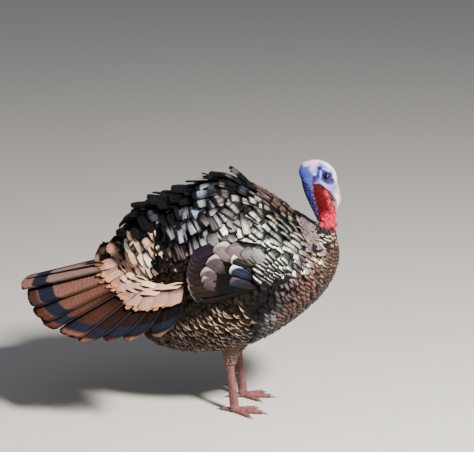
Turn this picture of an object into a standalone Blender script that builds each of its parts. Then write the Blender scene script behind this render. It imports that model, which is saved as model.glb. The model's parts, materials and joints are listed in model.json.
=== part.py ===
"""A life-size wild turkey (an adult male) standing at ease, as a museum model.

The bird faces +X, its left side is +Y, and the floor it stands on is Z = 0. Lengths are
metres. It is built with the feet at X = 0 and then moved by ORIGIN_SHIFT. Every solid holds the outline of what covers it, out to the tips of the feathers.
Flesh is lofted whole and parted with thin cuts, each neighbour cut back by GAP.
"""

import math

import bmesh
import bpy
import numpy as np
from mathutils import Matrix, Vector

# ---------------------------------------------------------------- driving dimensions
GAP = 0.0004  # the thin cut between neighbouring pieces
STANCE = 0.112  # between the middles of the two feet
HOCK_LEVEL = 0.134  # where the bare shank leaves the feathered leg
ANKLE_CUT = 0.0300  # where the shank is parted from the foot
SHANK_LEAN = 0.12  # how far the shank's top stands behind its foot, per metre of height

HEAD_CENTRE = Vector((0.173, 0.0, 0.5511))
HEAD_PITCH = math.radians(45.0)  # the bill points this far below the horizon
HEAD_TURN = math.radians(-6.0)  # the head looks a little to the bird's right
EYE_RADIUS = 0.0074
EYE_PLACE = (0.0150, 0.0138, 0.0180)  # in the head's own axes; y is mirrored

TAIL_ROOT = Vector((-0.128, 0.0, 0.383))
TAIL_DROOP = math.radians(15.7)  # the middle feathers point this far below level
TAIL_SIDE_SPREAD = 0.903  # how far the outermost feathers reach to the side
TAIL_SIDE_DROOP = 0.43  # and how far they hang, of their length
TAIL_HALF_ANGLE = 88.0  # degrees from the middle feather to the outermost
TAIL_FEATHERS = 18
TAIL_THICKNESS = 0.0024
COVERT_LENGTH = 0.207
COVERT_FEATHERS = 16
COVERT_LIFT = 0.0085  # the coverts lie this far above the tail feathers
COVERT_THICKNESS = 0.0040

# The trunk: station x, lowest z, highest z, half width. The back is the tips of its
# raised feathers, the belly those of the loose flank feathers.
TRUNK = (
    (-0.270, 0.338, 0.420, 0.034),
    (-0.254, 0.250, 0.448, 0.068),
    (-0.222, 0.172, 0.466, 0.100),
    (-0.175, 0.139, 0.486, 0.130),
    (-0.120, 0.132, 0.508, 0.154),
    (-0.065, 0.134, 0.532, 0.167),
    (-0.030, 0.140, 0.541, 0.168),
    (0.030, 0.158, 0.518, 0.164),
    (0.080, 0.187, 0.489, 0.154),
    (0.120, 0.215, 0.459, 0.139),
    (0.160, 0.251, 0.438, 0.114),
    (0.200, 0.296, 0.422, 0.076),
    (0.222, 0.340, 0.400, 0.034),
)
TRUNK_WIDEST = 0.47  # level of the widest part, as a share of the height

# The neck: centre x, centre z, half depth, half width, from inside the head downwards.
BARE_NECK = (
    (0.166, 0.545, 0.0200, 0.0180),
    (0.176, 0.5185, 0.0235, 0.0195),
    (0.186, 0.4950, 0.0225, 0.0190),
    (0.194, 0.4640, 0.0180, 0.0170),
    (0.194, 0.4400, 0.0190, 0.0180),
    (0.193, 0.4250, 0.0210, 0.0205),
)
FEATHERED_NECK = (
    (0.1927, 0.4246, 0.0250, 0.0245),
    (0.191, 0.4080, 0.0310, 0.0320),
    (0.184, 0.3800, 0.0400, 0.0480),
    (0.170, 0.3500, 0.0460, 0.0620),
    (0.150, 0.3200, 0.0480, 0.0700),
)

# The head in its own axes: x towards the bill, then lowest z, highest z, half width.
HEAD = (
    (-0.0430, -0.0130, -0.0010, 0.0070),
    (-0.0360, -0.0260, 0.0130, 0.0150),
    (-0.0235, -0.0330, 0.0265, 0.0195),
    (-0.0090, -0.0320, 0.0345, 0.0205),
    (0.0070, -0.0260, 0.0375, 0.0195),
    (0.0230, -0.0190, 0.0345, 0.0170),
    (0.0370, -0.0145, 0.0250, 0.0125),
    (0.0460, -0.0115, 0.0165, 0.0090),
)
UPPER_BILL = (
    (0.0400, -0.0078, 0.0155, 0.0085),
    (0.0500, -0.0080, 0.0120, 0.0078),
    (0.0600, -0.0086, 0.0072, 0.0066),
    (0.0690, -0.0110, 0.0008, 0.0052),
    (0.0765, -0.0155, -0.0065, 0.0038),
    (0.0815, -0.0205, -0.0145, 0.0022),
    (0.0832, -0.0225, -0.0200, 0.0008),
)
LOWER_BILL = (
    (0.0340, -0.0160, -0.0084, 0.0078),
    (0.0450, -0.0158, -0.0085, 0.0072),
    (0.0560, -0.0150, -0.0090, 0.0060),
    (0.0650, -0.0138, -0.0114, 0.0040),
    (0.0700, -0.0136, -0.0122, 0.0014),
)
# The snood's middle line and radius, over the left of the bill.
SNOOD = (
    (0.2085, 0.0035, 0.5420, 0.0042),
    (0.2185, 0.0080, 0.5300, 0.0048),
    (0.2245, 0.0120, 0.5150, 0.0052),
    (0.2245, 0.0135, 0.4980, 0.0050),
    (0.2215, 0.0135, 0.4870, 0.0034),
)
# The fleshy lobes at the foot of the bare neck: centre and radius.
CARUNCLES = (
    (0.2090, 0.0005, 0.4430, 0.0115),
    (0.2040, -0.0150, 0.4340, 0.0125),
    (0.2042, 0.0150, 0.4335, 0.0125),
    (0.2135, -0.0010, 0.4285, 0.0105),
)

# The folded wing: station x, lowest z, highest z, distance of its middle from the
# bird's middle, half thickness.
WING = (
    (-0.108, 0.326, 0.356, 0.152, 0.0060),
    (-0.100, 0.304, 0.384, 0.157, 0.0120),
    (-0.080, 0.290, 0.412, 0.160, 0.0165),
    (-0.030, 0.292, 0.430, 0.162, 0.0190),
    (0.030, 0.306, 0.434, 0.159, 0.0200),
    (0.090, 0.322, 0.426, 0.148, 0.0190),
    (0.130, 0.338, 0.408, 0.133, 0.0150),
    (0.150, 0.356, 0.388, 0.121, 0.0080),
)

# The feathered leg above the hock: centre x, z, half depth, half width.
THIGH = (
    (0.012, 0.250, 0.060, 0.038),
    (0.002, 0.200, 0.050, 0.035),
    (-0.009, 0.165, 0.033, 0.026),
    (-0.0155, 0.130, 0.0150, 0.0125),
)
# The bare shank, by height: half depth and half width.
SHANK = (
    (0.140, 0.0122, 0.0098),
    (0.125, 0.0112, 0.0092),
    (0.100, 0.0094, 0.0076),
    (0.055, 0.0092, 0.0072),
    (0.030, 0.0100, 0.0086),
    (0.015, 0.0108, 0.0105),
    (0.004, 0.0090, 0.0090),
)
TOE_BASE_X = -0.006
# Each toe: its turn outwards in degrees, length without the claw, root radius, tip radius.
TOES = {
    "middle": (4.0, 0.064, 0.0072, 0.0050),
    "inner": (-34.0, 0.050, 0.0064, 0.0046),
    "outer": (42.0, 0.052, 0.0064, 0.0046),
    "hind": (196.0, 0.034, 0.0056, 0.0042),
}
CLAW_LENGTH = 0.0135

RING_POINTS = 24
ORIGIN_SHIFT = 0.1427  # brings the middle of the whole bird's length over the origin


# ---------------------------------------------------------------- general helpers
def clear_scene():
    """Removes whatever the scene holds."""
    for obj in list(bpy.data.objects):
        bpy.data.objects.remove(obj)


def collection(name):
    """Makes a collection in the scene."""
    made = bpy.data.collections.new(name)
    bpy.context.scene.collection.children.link(made)
    return made


def material(name, colour, roughness, metallic=0.0):
    """Makes a plain Principled material."""
    made = bpy.data.materials.new(name)
    made.use_nodes = True
    shader = made.node_tree.nodes["Principled BSDF"]
    shader.inputs["Base Color"].default_value = (*colour, 1.0)
    shader.inputs["Roughness"].default_value = roughness
    shader.inputs["Metallic"].default_value = metallic
    return made


def smooth_rows(rows, count):
    """Reads count rows from a smooth curve through the given rows, evenly by length."""
    rows = np.array(rows, float)
    steps = np.linalg.norm(np.diff(rows, axis=0), axis=1)
    knots = np.concatenate([[0.0], np.cumsum(np.sqrt(steps))])
    slopes = np.gradient(rows, knots, axis=0)
    at = np.linspace(0.0, knots[-1], count)
    span = np.clip(np.searchsorted(knots, at, side="right") - 1, 0, len(knots) - 2)
    width = knots[span + 1] - knots[span]
    t = ((at - knots[span]) / width)[:, None]
    width = width[:, None]
    start, end = rows[span], rows[span + 1]
    return (
        (2 * t**3 - 3 * t**2 + 1) * start
        + (t**3 - 2 * t**2 + t) * width * slopes[span]
        + (3 * t**2 - 2 * t**3) * end
        + (t**3 - t**2) * width * slopes[span + 1]
    )


def oval(points, power=2.0):
    """Unit superellipse: rows of (across, up), anticlockwise."""
    angle = np.linspace(0.0, 2 * math.pi, points, endpoint=False)
    c, s = np.cos(angle), np.sin(angle)
    return np.stack(
        [np.sign(c) * abs(c) ** (2 / power), np.sign(s) * abs(s) ** (2 / power)], axis=1
    )


def mesh_object(name, mesh, where, finish):
    """Wraps a mesh in an object, in a collection, with a material."""
    obj = bpy.data.objects.new(name, mesh)
    where.objects.link(obj)
    if finish is not None:
        mesh.materials.append(finish)
    return obj


def loft(name, rings, where, finish=None, matrix=None):
    """Skins a closed body over rings of equally many points, with flat ends."""
    bm = bmesh.new()
    rows = [[bm.verts.new(point) for point in ring] for ring in rings]
    count = len(rows[0])
    for first, second in zip(rows, rows[1:]):
        for i in range(count):
            j = (i + 1) % count
            bm.faces.new((first[i], first[j], second[j], second[i]))
    bm.faces.new(rows[0])
    bm.faces.new(rows[-1])
    bmesh.ops.recalc_face_normals(bm, faces=bm.faces)
    mesh = bpy.data.meshes.new(name)
    bm.to_mesh(mesh)
    bm.free()
    if matrix is not None:
        mesh.transform(matrix)
    mesh.shade_smooth()
    mesh.set_sharp_from_angle(angle=math.radians(50))
    return mesh_object(name, mesh, where, finish)


def boolean(target, other, operation):
    """Adds an exact Boolean modifier."""
    modifier = target.modifiers.new(f"{operation.lower()} {other.name}", "BOOLEAN")
    modifier.operation = operation
    modifier.solver = "EXACT"
    modifier.object = other


def hide(obj):
    """Marks an object as a cutter."""
    obj.hide_render = True
    obj.display_type = "WIRE"
    return obj


def block(name, low, high, where):
    """A box between two corners, as a cutter."""
    bm = bmesh.new()
    bmesh.ops.create_cube(bm, size=1.0)
    low, high = Vector(low), Vector(high)
    bmesh.ops.scale(bm, vec=high - low, verts=bm.verts)
    bmesh.ops.translate(bm, vec=(low + high) / 2, verts=bm.verts)
    mesh = bpy.data.meshes.new(name)
    bm.to_mesh(mesh)
    bm.free()
    return hide(mesh_object(name, mesh, where, None))


def ball(name, centre, radius, where, finish=None, rings=8):
    """A sphere as a mesh object."""
    bm = bmesh.new()
    bmesh.ops.create_uvsphere(bm, u_segments=rings * 3 // 2, v_segments=rings, radius=radius)
    bmesh.ops.translate(bm, vec=centre, verts=bm.verts)
    mesh = bpy.data.meshes.new(name)
    bm.to_mesh(mesh)
    bm.free()
    mesh.shade_smooth()
    return mesh_object(name, mesh, where, finish)


# ---------------------------------------------------------------- rings
def upright_rings(rows, count, power=2.1, grow=0.0, widest=0.5, points=RING_POINTS):
    """Rings across X from rows of (x, lowest z, highest z, half width)."""
    unit = oval(points, power)
    rings = []
    for x, low, high, half in smooth_rows(rows, count):
        middle = low + (high - low) * widest
        up = np.where(unit[:, 1] > 0, high - middle, middle - low) + grow
        rings.append(
            [(x, (half + grow) * a, middle + u * b) for (a, b), u in zip(unit, up)]
        )
    if grow:
        rings[0] = [(x - grow, y, z) for x, y, z in rings[0]]
        rings[-1] = [(x + grow, y, z) for x, y, z in rings[-1]]
    return rings


def column_rings(rows, count, grow=0.0, side=0.0, points=16):
    """Rings round a column that leans in XZ, from rows of (x, z, half depth, half width)."""
    path = smooth_rows(rows, count)
    along = np.gradient(path[:, :2], axis=0)
    along /= np.linalg.norm(along, axis=1, keepdims=True)
    path[0, :2] -= along[0] * grow
    path[-1, :2] += along[-1] * grow
    unit = oval(points)
    rings = []
    for (x, z, depth, half), (tx, tz) in zip(path, along):
        rings.append(
            [
                (x - tz * (depth + grow) * a, side + (half + grow) * b, z + tx * (depth + grow) * a)
                for a, b in unit
            ]
        )
    return rings


def head_frame():
    """Carries the head's own axes (x to the bill, z to the crown) into place."""
    turn = Matrix.Rotation(HEAD_TURN, 4, "Z") @ Matrix.Rotation(HEAD_PITCH, 4, "Y")
    return Matrix.Translation(HEAD_CENTRE) @ turn


# ---------------------------------------------------------------- head
def build_head(parts, cutters, finishes):
    """Skull, both halves of the bill, the eyes and the snood."""
    frame = head_frame()
    head = loft("head", upright_rings(HEAD, 9, points=16), parts, finishes["blue_skin"], frame)
    head_cutter = hide(
        loft("head_cutter", upright_rings(HEAD, 9, grow=GAP, points=16), cutters, None, frame)
    )
    for name, rows in (("bill_upper", UPPER_BILL), ("bill_lower", LOWER_BILL)):
        loft(name, upright_rings(rows, 8, points=12), parts, finishes["horn"], frame)
        cutter = loft(
            name + "_cutter", upright_rings(rows, 8, grow=GAP, points=12), cutters, None, frame
        )
        boolean(head, hide(cutter), "DIFFERENCE")
    for side, sign in (("right", -1), ("left", 1)):
        x, y, z = EYE_PLACE
        centre = frame @ Vector((x, sign * y, z))
        ball("eye_" + side, centre, EYE_RADIUS, parts, finishes["eye"])
        socket = ball(f"socket_{side}", centre, EYE_RADIUS + 1.5 * GAP, cutters)
        boolean(head, hide(socket), "DIFFERENCE")
    snood_cutter = build_snood(parts, cutters, finishes)
    boolean(head, snood_cutter, "DIFFERENCE")
    boolean(bpy.data.objects["bill_upper"], snood_cutter, "DIFFERENCE")
    return head_cutter


def round_rings(rows, count, grow=0.0, points=12):
    """Rings round a free curve from rows of (x, y, z, radius)."""
    path = smooth_rows(rows, count)
    along = np.gradient(path[:, :3], axis=0)
    unit = oval(points)
    rings = []
    for (*centre, radius), direction in zip(path, along):
        ahead = Vector(direction).normalized()
        side = ahead.cross(Vector((1.0, 0.2, 0.1))).normalized()
        up = ahead.cross(side)
        rings.append(
            [Vector(centre) + (side * a + up * b) * (radius + grow) for a, b in unit]
        )
    return rings


def build_snood(parts, cutters, finishes):
    """The fleshy finger over the bill."""
    loft("snood", round_rings(SNOOD, 8), parts, finishes["pink_skin"])
    return hide(loft("snood_cutter", round_rings(SNOOD, 8, grow=GAP), cutters))


# ---------------------------------------------------------------- neck
def build_neck(parts, cutters, finishes, head_cutter):
    """Bare neck, its fleshy lobes and the feathered neck below them."""
    bare = loft("neck_bare", column_rings(BARE_NECK, 7), parts, finishes["red_skin"])
    boolean(bare, head_cutter, "DIFFERENCE")
    for name in ("bill_lower_cutter", "bill_upper_cutter"):
        boolean(bare, bpy.data.objects[name], "DIFFERENCE")
    feathered = loft(
        "neck_feathered", column_rings(FEATHERED_NECK, 6), parts, finishes["copper"]
    )
    build_lobes("caruncles", 0.0, parts, finishes["red_skin"])
    lobes_cutter = hide(build_lobes("caruncles_cutter", GAP, cutters))
    bare_cutter = hide(loft("neck_bare_cutter", column_rings(BARE_NECK, 7, GAP), cutters))
    boolean(feathered, bare_cutter, "DIFFERENCE")
    boolean(bare, lobes_cutter, "DIFFERENCE")
    boolean(feathered, lobes_cutter, "DIFFERENCE")
    neck_cutter = hide(
        loft("neck_feathered_cutter", column_rings(FEATHERED_NECK, 6, 2 * GAP), cutters)
    )
    return [bare_cutter, lobes_cutter, neck_cutter]


def build_lobes(name, grow, where, finish=None):
    """One body of rounded lobes, joined by unions on the first."""
    first = None
    for number, (x, y, z, radius) in enumerate(CARUNCLES):
        lobe = ball(f"{name}_{number}", (x, y, z), radius + grow, where, finish, rings=6)
        if first is None:
            first = lobe
            first.name = name
            continue
        boolean(first, hide(lobe), "UNION")
    return first


# ---------------------------------------------------------------- wings
def wing_rings(sign, grow=0.0):
    """Rings of a folded wing, a lens that lies on the trunk's side."""
    unit = oval(16, 2.3)
    rings = []
    for x, low, high, out, half in smooth_rows(WING, 11):
        middle, tall = (low + high) / 2, (high - low) / 2 + grow
        rings.append(
            [
                (
                    x,
                    sign * (out - 0.10 * max(0.0, tall * b) + (half + grow) * a),
                    middle + tall * b,
                )
                for a, b in unit
            ]
        )
    return rings


def build_wings(parts, cutters, finishes):
    """Both folded wings, and their cutters."""
    made = []
    for side, sign in (("right", -1), ("left", 1)):
        loft("wing_" + side, wing_rings(sign), parts, finishes["bronze"])
        made.append(hide(loft(f"wing_{side}_cutter", wing_rings(sign, GAP), cutters)))
    return made


# ---------------------------------------------------------------- tail
def tail_direction(angle):
    """Unit direction of the tail feather at this angle in radians; right is positive."""
    side = math.sin(angle)
    return Vector(
        (
            -math.cos(angle) * math.cos(TAIL_DROOP),
            -side * TAIL_SIDE_SPREAD,
            -math.cos(angle) * math.sin(TAIL_DROOP) - abs(side) ** 1.4 * TAIL_SIDE_DROOP,
        )
    ).normalized()


def tail_normal(angle):
    """Unit normal of the fan at this angle, on its upper side."""
    step = math.radians(2)
    across = tail_direction(angle + step) - tail_direction(angle - step)
    return across.cross(tail_direction(angle)).normalized() * -1.0


def tail_reach(angle):
    """Length of the tail feather at this angle."""
    return 0.402 - 0.070 * (abs(angle) / math.radians(TAIL_HALF_ANGLE)) ** 1.6


def covert_reach(angle):
    """Length of the longest coverts at this angle; those at the sides hang lower."""
    side = math.sin(angle) ** 2
    return COVERT_LENGTH * (1.0 + 0.19 * side - 0.16 * side**8)


def scallop(angle, feathers, depth):
    """Rounds each feather's tip: 1 at its shaft, less between two feathers."""
    width = 2 * math.radians(TAIL_HALF_ANGLE) / feathers
    return 1.0 - depth * (1 - abs(math.cos(math.pi * angle / width))) ** 1.3


def fan(name, low, high, columns, inner, outer, edge, lift, thickness, where, finish=None):
    """A curved plate over the angles low to high in degrees, thickened by Solidify.

    inner and outer are radii as shares of the edge's radius; lift(share) stands the
    plate off the fan there.
    """
    bm = bmesh.new()
    grid = []
    for angle in np.radians(np.linspace(low, high, columns)):
        direction, normal = tail_direction(angle), tail_normal(angle)
        reach = edge(angle)
        grid.append(
            [
                bm.verts.new(TAIL_ROOT + direction * reach * share + normal * lift(share))
                for share in (inner, outer)
            ]
        )
    for first, second in zip(grid, grid[1:]):
        bm.faces.new((first[0], first[1], second[1], second[0]))
    bmesh.ops.recalc_face_normals(bm, faces=bm.faces)
    mesh = bpy.data.meshes.new(name)
    bm.to_mesh(mesh)
    bm.free()
    obj = mesh_object(name, mesh, where, finish)
    solid = obj.modifiers.new("thickness", "SOLIDIFY")
    solid.thickness = thickness
    solid.offset = 0.0
    return obj


def build_tail(parts, cutters, finishes):
    """The fan in three lengths, and the coverts that lie on it."""
    edge = lambda angle: tail_reach(angle) * scallop(angle, TAIL_FEATHERS, 0.05)
    flat = lambda share: 0.0
    split, half_cut = 29.3, 0.16  # a gap of half_cut degrees on each side of a parting
    end = TAIL_HALF_ANGLE + 4.5
    for name, low, high, columns in (
        ("tail_right", split + half_cut, end, 31),
        ("tail_middle", -split + half_cut, split - half_cut, 29),
        ("tail_left", -end, -split - half_cut, 31),
    ):
        fan(name, low, high, columns, 0.13, 1.0, edge, flat, TAIL_THICKNESS, parts, finishes["tail"])
    tail_cutter = fan(
        "tail_cutter", -end - 1, end + 1, 21, 0.10, 1.02, tail_reach, flat,
        TAIL_THICKNESS + 8 * GAP, cutters,
    )
    covert_edge = lambda angle: covert_reach(angle) * scallop(angle, COVERT_FEATHERS, 0.07)
    raise_root = lambda share: COVERT_LIFT + 0.016 * (1.0 - share)
    fan(
        "tail_coverts", -86, 86, 49, 0.16, 1.0, covert_edge, raise_root,
        COVERT_THICKNESS, parts, finishes["covert"],
    )
    covert_cutter = fan(
        "covert_cutter", -88, 88, 21, 0.12, 1.03, covert_reach,
        raise_root, COVERT_THICKNESS + 8 * GAP, cutters,
    )
    return hide(tail_cutter), hide(covert_cutter)


# ---------------------------------------------------------------- legs
def shank_x(height):
    """Where the shank's middle line stands at this height."""
    return TOE_BASE_X - SHANK_LEAN * height


def shank_rings(low, high, count, middle, points=12):
    """Level rings round the bare leg between two heights."""
    table = np.array(sorted(SHANK))
    unit = oval(points)
    rings = []
    for height in np.linspace(low, high, count):
        depth, half = (np.interp(height, table[:, 0], table[:, k]) for k in (1, 2))
        rings.append(
            [(shank_x(height) + depth * a, middle + half * b, height) for a, b in unit]
        )
    return rings


def toe_rings(turn, length, root, tip, sign):
    """Rings along a round toe that dips a little below the floor, where it is cut flat."""
    direction = Vector((math.cos(turn), sign * math.sin(turn), 0.0))
    across = Vector((-direction.y, direction.x, 0.0))
    unit = oval(8)
    rings = []
    for share in (0.0, 0.3, 0.62, 0.92, 1.0):
        radius = root + (tip - root) * share
        radius *= 1.0 + 0.07 * math.cos(share * 6 * math.pi)  # the pads under the joints
        if share == 1.0:
            radius *= 0.55
        centre = Vector((TOE_BASE_X, sign * STANCE / 2, 0.0))
        centre += direction * (0.0015 + (length - 0.0015) * share)
        level = root * 0.86 * (1 - share) + tip * 0.80 * share
        rings.append(
            [
                centre + across * radius * a + Vector((0, 0, level + radius * b))
                for a, b in unit
            ]
        )
    return rings


def claw_rings(turn, length, tip, sign, grow=0.0):
    """Rings along a claw that curves down to the floor from the toe's end."""
    direction = Vector((math.cos(turn), sign * math.sin(turn), 0.0))
    across = Vector((-direction.y, direction.x, 0.0))
    unit = oval(8)
    rings = []
    for share in np.linspace(0.0, 1.0, 4):
        radius = tip * 0.50 * (1 - 0.78 * share) + grow
        centre = Vector((TOE_BASE_X, sign * STANCE / 2, 0.0))
        centre += direction * (length - 0.003 + (CLAW_LENGTH + 0.003) * share)
        level = max(tip * (0.95 - 0.86 * share**1.6), radius)
        rings.append(
            [
                centre + across * radius * a * 0.8 + Vector((0, 0, level + radius * b))
                for a, b in unit
            ]
        )
    return rings


def build_leg(side, sign, parts, cutters, finishes):
    """Feathered leg, shank, foot, claws and spur of one side."""
    middle = sign * STANCE / 2
    thigh = loft(
        f"thigh_{side}", column_rings(THIGH, 5, side=middle, points=14), parts, finishes["flank"]
    )
    thigh_cutter = hide(
        loft(f"thigh_{side}_cutter", column_rings(THIGH, 5, GAP, middle, 14), cutters)
    )
    boolean(thigh, bpy.data.objects[f"wing_{side}_cutter"], "DIFFERENCE")
    below = block(f"below_thigh_{side}", (-1, -1, -1), (1, 1, HOCK_LEVEL), cutters)
    boolean(thigh, below, "DIFFERENCE")
    shank = shank_rings(ANKLE_CUT + GAP / 2, HOCK_LEVEL - GAP, 8, middle)
    loft(f"shank_{side}", shank, parts, finishes["shank"])
    foot = loft(
        f"foot_{side}", shank_rings(0.004, ANKLE_CUT - GAP / 2, 4, middle),
        parts, finishes["shank"],
    )
    for name, (turn, length, root, tip) in TOES.items():
        turn = math.radians(turn)
        toe = loft(f"toe_{name}_{side}", toe_rings(turn, length, root, tip, sign), cutters)
        boolean(foot, hide(toe), "UNION")
    boolean(foot, block(f"floor_{side}", (-1, -1, -1), (1, 1, 0), cutters), "DIFFERENCE")
    for name, (turn, length, root, tip) in TOES.items():
        turn = math.radians(turn)
        rings = claw_rings(turn, length, tip, sign)
        loft(f"claw_{name}_{side}", rings, parts, finishes["claw"])
        cutter = claw_rings(turn, length, tip, sign, GAP)
        boolean(foot, hide(loft(f"claw_{name}_{side}_cutter", cutter, cutters)), "DIFFERENCE")
    build_spur(side, sign, parts, cutters, finishes)
    return thigh_cutter


def build_spur(side, sign, parts, cutters, finishes):
    """The short spur on the back of the shank, towards the other leg."""
    height = 0.060
    start = Vector((shank_x(height) - 0.004, sign * (STANCE / 2 - 0.002), height))
    tip = start + Vector((-0.0165, -sign * 0.006, 0.002))
    for name, grow, where in (
        (f"spur_{side}", 0.0, parts),
        (f"spur_{side}_cutter", GAP, cutters),
    ):
        rows = [(*start.lerp(tip, t), 0.0042 * (1 - 0.85 * t**1.3)) for t in (0, 0.35, 0.7, 1)]
        loft(name, round_rings(rows, 4, grow, 8), where, finishes["claw"])
    cutter = hide(bpy.data.objects[f"spur_{side}_cutter"])
    boolean(bpy.data.objects[f"shank_{side}"], cutter, "DIFFERENCE")


# ---------------------------------------------------------------- trunk
def build_trunk(parts, finishes, cutters_used):
    """The trunk with its coat, less what its neighbours take."""
    trunk = loft(
        "trunk", upright_rings(TRUNK, 17, power=2.15, widest=TRUNK_WIDEST, points=24),
        parts, finishes["black"],
    )
    for cutter in cutters_used:
        boolean(trunk, cutter, "DIFFERENCE")


def main():
    """Builds every piece of the bird."""
    clear_scene()
    parts, cutters = collection("wild_turkey"), collection("cutters")
    finishes = {
        "blue_skin": material("blue_skin", (0.42, 0.50, 0.78), 0.50),
        "red_skin": material("red_skin", (0.62, 0.03, 0.04), 0.45),
        "pink_skin": material("pink_skin", (0.80, 0.50, 0.47), 0.50),
        "horn": material("horn", (0.58, 0.51, 0.42), 0.38),
        "eye": material("eye", (0.03, 0.018, 0.01), 0.08),
        "copper": material("copper_feather", (0.16, 0.075, 0.05), 0.42, 0.3),
        "black": material("black_feather", (0.035, 0.03, 0.03), 0.38, 0.3),
        "bronze": material("bronze_feather", (0.09, 0.085, 0.07), 0.36, 0.4),
        "flank": material("flank_feather", (0.10, 0.06, 0.04), 0.60),
        "tail": material("tail_feather", (0.26, 0.13, 0.08), 0.55),
        "covert": material("covert_feather", (0.50, 0.28, 0.16), 0.55),
        "shank": material("shank_scale", (0.42, 0.20, 0.19), 0.50),
        "claw": material("claw_horn", (0.06, 0.045, 0.04), 0.40),
    }
    head_cutter = build_head(parts, cutters, finishes)
    neck_cutters = build_neck(parts, cutters, finishes, head_cutter)
    wing_cutters = build_wings(parts, cutters, finishes)
    tail_cutters = build_tail(parts, cutters, finishes)
    thigh_cutters = [
        build_leg(side, sign, parts, cutters, finishes)
        for side, sign in (("right", -1), ("left", 1))
    ]
    build_trunk(
        parts, finishes, [*neck_cutters, *wing_cutters, *tail_cutters, *thigh_cutters]
    )
    for obj in [*parts.objects, *cutters.objects]:
        obj.location.x = ORIGIN_SHIFT


main()
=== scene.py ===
"""The looks of a life-size wild turkey, an adult male standing at ease, round its CAD frame.

The bird faces +X, its left side is +Y and the floor is Z = 0. Feathers are solid vanes that
follow the lie of the coat over four kinds of surface: body, wings, tail fan and legs.
"""

from __future__ import annotations

import json
import logging
import math
from dataclasses import dataclass, field
from enum import Enum
from typing import Callable, Sequence

import bmesh
import bpy
import numpy as np
from mathutils import Matrix, Vector, noise

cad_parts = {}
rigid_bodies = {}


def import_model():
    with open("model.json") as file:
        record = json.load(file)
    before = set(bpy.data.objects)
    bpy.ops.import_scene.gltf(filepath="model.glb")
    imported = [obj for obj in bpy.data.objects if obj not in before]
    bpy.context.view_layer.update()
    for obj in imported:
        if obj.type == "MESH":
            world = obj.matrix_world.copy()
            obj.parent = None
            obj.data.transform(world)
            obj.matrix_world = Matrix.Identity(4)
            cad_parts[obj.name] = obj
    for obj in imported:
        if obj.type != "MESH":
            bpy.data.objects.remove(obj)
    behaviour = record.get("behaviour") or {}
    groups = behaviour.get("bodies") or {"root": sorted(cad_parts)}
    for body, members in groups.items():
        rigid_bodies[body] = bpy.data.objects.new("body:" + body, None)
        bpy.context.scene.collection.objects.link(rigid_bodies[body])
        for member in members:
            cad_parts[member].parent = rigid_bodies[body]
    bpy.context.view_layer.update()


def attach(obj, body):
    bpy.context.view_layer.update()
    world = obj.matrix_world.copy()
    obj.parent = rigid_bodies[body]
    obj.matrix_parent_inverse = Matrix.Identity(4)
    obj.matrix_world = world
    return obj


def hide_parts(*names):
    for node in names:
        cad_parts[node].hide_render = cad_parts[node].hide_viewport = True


LOG = logging.getLogger("turkey")
Array = np.ndarray

SEED = 20260
FEET_X = 0.1427  # where the feet stand along X; the tables below count from there
FEET = np.array((FEET_X, 0.0, 0.0))
FLOOR_GAP = 0.002  # no feather comes nearer the floor
FLOOR_REACH = 40.0  # half the side of the floor that is shown

# Outer surface of the plumage, as rings from the rump to the foot of the bare neck: the
# back line's x and z, the breast and belly line's x and z, and the half width.
BODY_RINGS = (
    (-0.266, 0.402, -0.264, 0.345, 0.034),
    (-0.252, 0.440, -0.247, 0.238, 0.080),
    (-0.220, 0.464, -0.214, 0.162, 0.114),
    (-0.172, 0.484, -0.165, 0.139, 0.140),
    (-0.118, 0.506, -0.108, 0.133, 0.157),
    (-0.068, 0.530, -0.048, 0.138, 0.166),
    (-0.030, 0.539, 0.008, 0.150, 0.168),
    (0.020, 0.521, 0.062, 0.175, 0.166),
    (0.062, 0.499, 0.108, 0.206, 0.158),
    (0.098, 0.474, 0.150, 0.241, 0.144),
    (0.126, 0.456, 0.186, 0.278, 0.124),
    (0.146, 0.444, 0.210, 0.318, 0.100),
    (0.159, 0.438, 0.2215, 0.358, 0.074),
    (0.167, 0.438, 0.2185, 0.394, 0.050),
    (0.171, 0.446, 0.2150, 0.420, 0.034),
    (0.1745, 0.455, 0.2140, 0.436, 0.0245),
)
BODY_LEVEL = 0.47  # height of the widest part of a ring, as a share of the ring
BODY_POWER = 2.15

# The folded wing: station x, lowest z, highest z, distance out of its middle, half thickness.
WING_ROWS = (
    (-0.112, 0.318, 0.362, 0.152, 0.0080),
    (-0.098, 0.302, 0.388, 0.158, 0.0130),
    (-0.070, 0.291, 0.412, 0.161, 0.0170),
    (-0.030, 0.292, 0.426, 0.162, 0.0190),
    (0.030, 0.306, 0.430, 0.159, 0.0200),
    (0.080, 0.320, 0.424, 0.150, 0.0190),
    (0.120, 0.335, 0.410, 0.137, 0.0150),
    (0.146, 0.352, 0.392, 0.124, 0.0090),
)

# The feathered leg: centre x and z, half depth, half width, from the hock up.
THIGH_ROWS = (
    (-0.0165, 0.128, 0.0140, 0.0120),
    (-0.0130, 0.148, 0.0220, 0.0180),
    (-0.0070, 0.168, 0.0330, 0.0260),
    (0.0020, 0.195, 0.0460, 0.0330),
    (0.0090, 0.225, 0.0560, 0.0370),
)
STANCE = 0.112

TAIL_ROOT = (-0.128, 0.0, 0.383)
TAIL_DROOP = math.radians(15.7)
TAIL_HALF_ANGLE = 88.0
TAIL_SPREAD = 0.903  # how far a feather straight out to the side reaches, over its length
TAIL_HANG = 0.43  # how far it hangs, over its length

HEAD_CENTRE = (0.173, 0.0, 0.5511)
HEAD_PITCH = math.radians(45.0)
HEAD_TURN = math.radians(-6.0)
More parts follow.
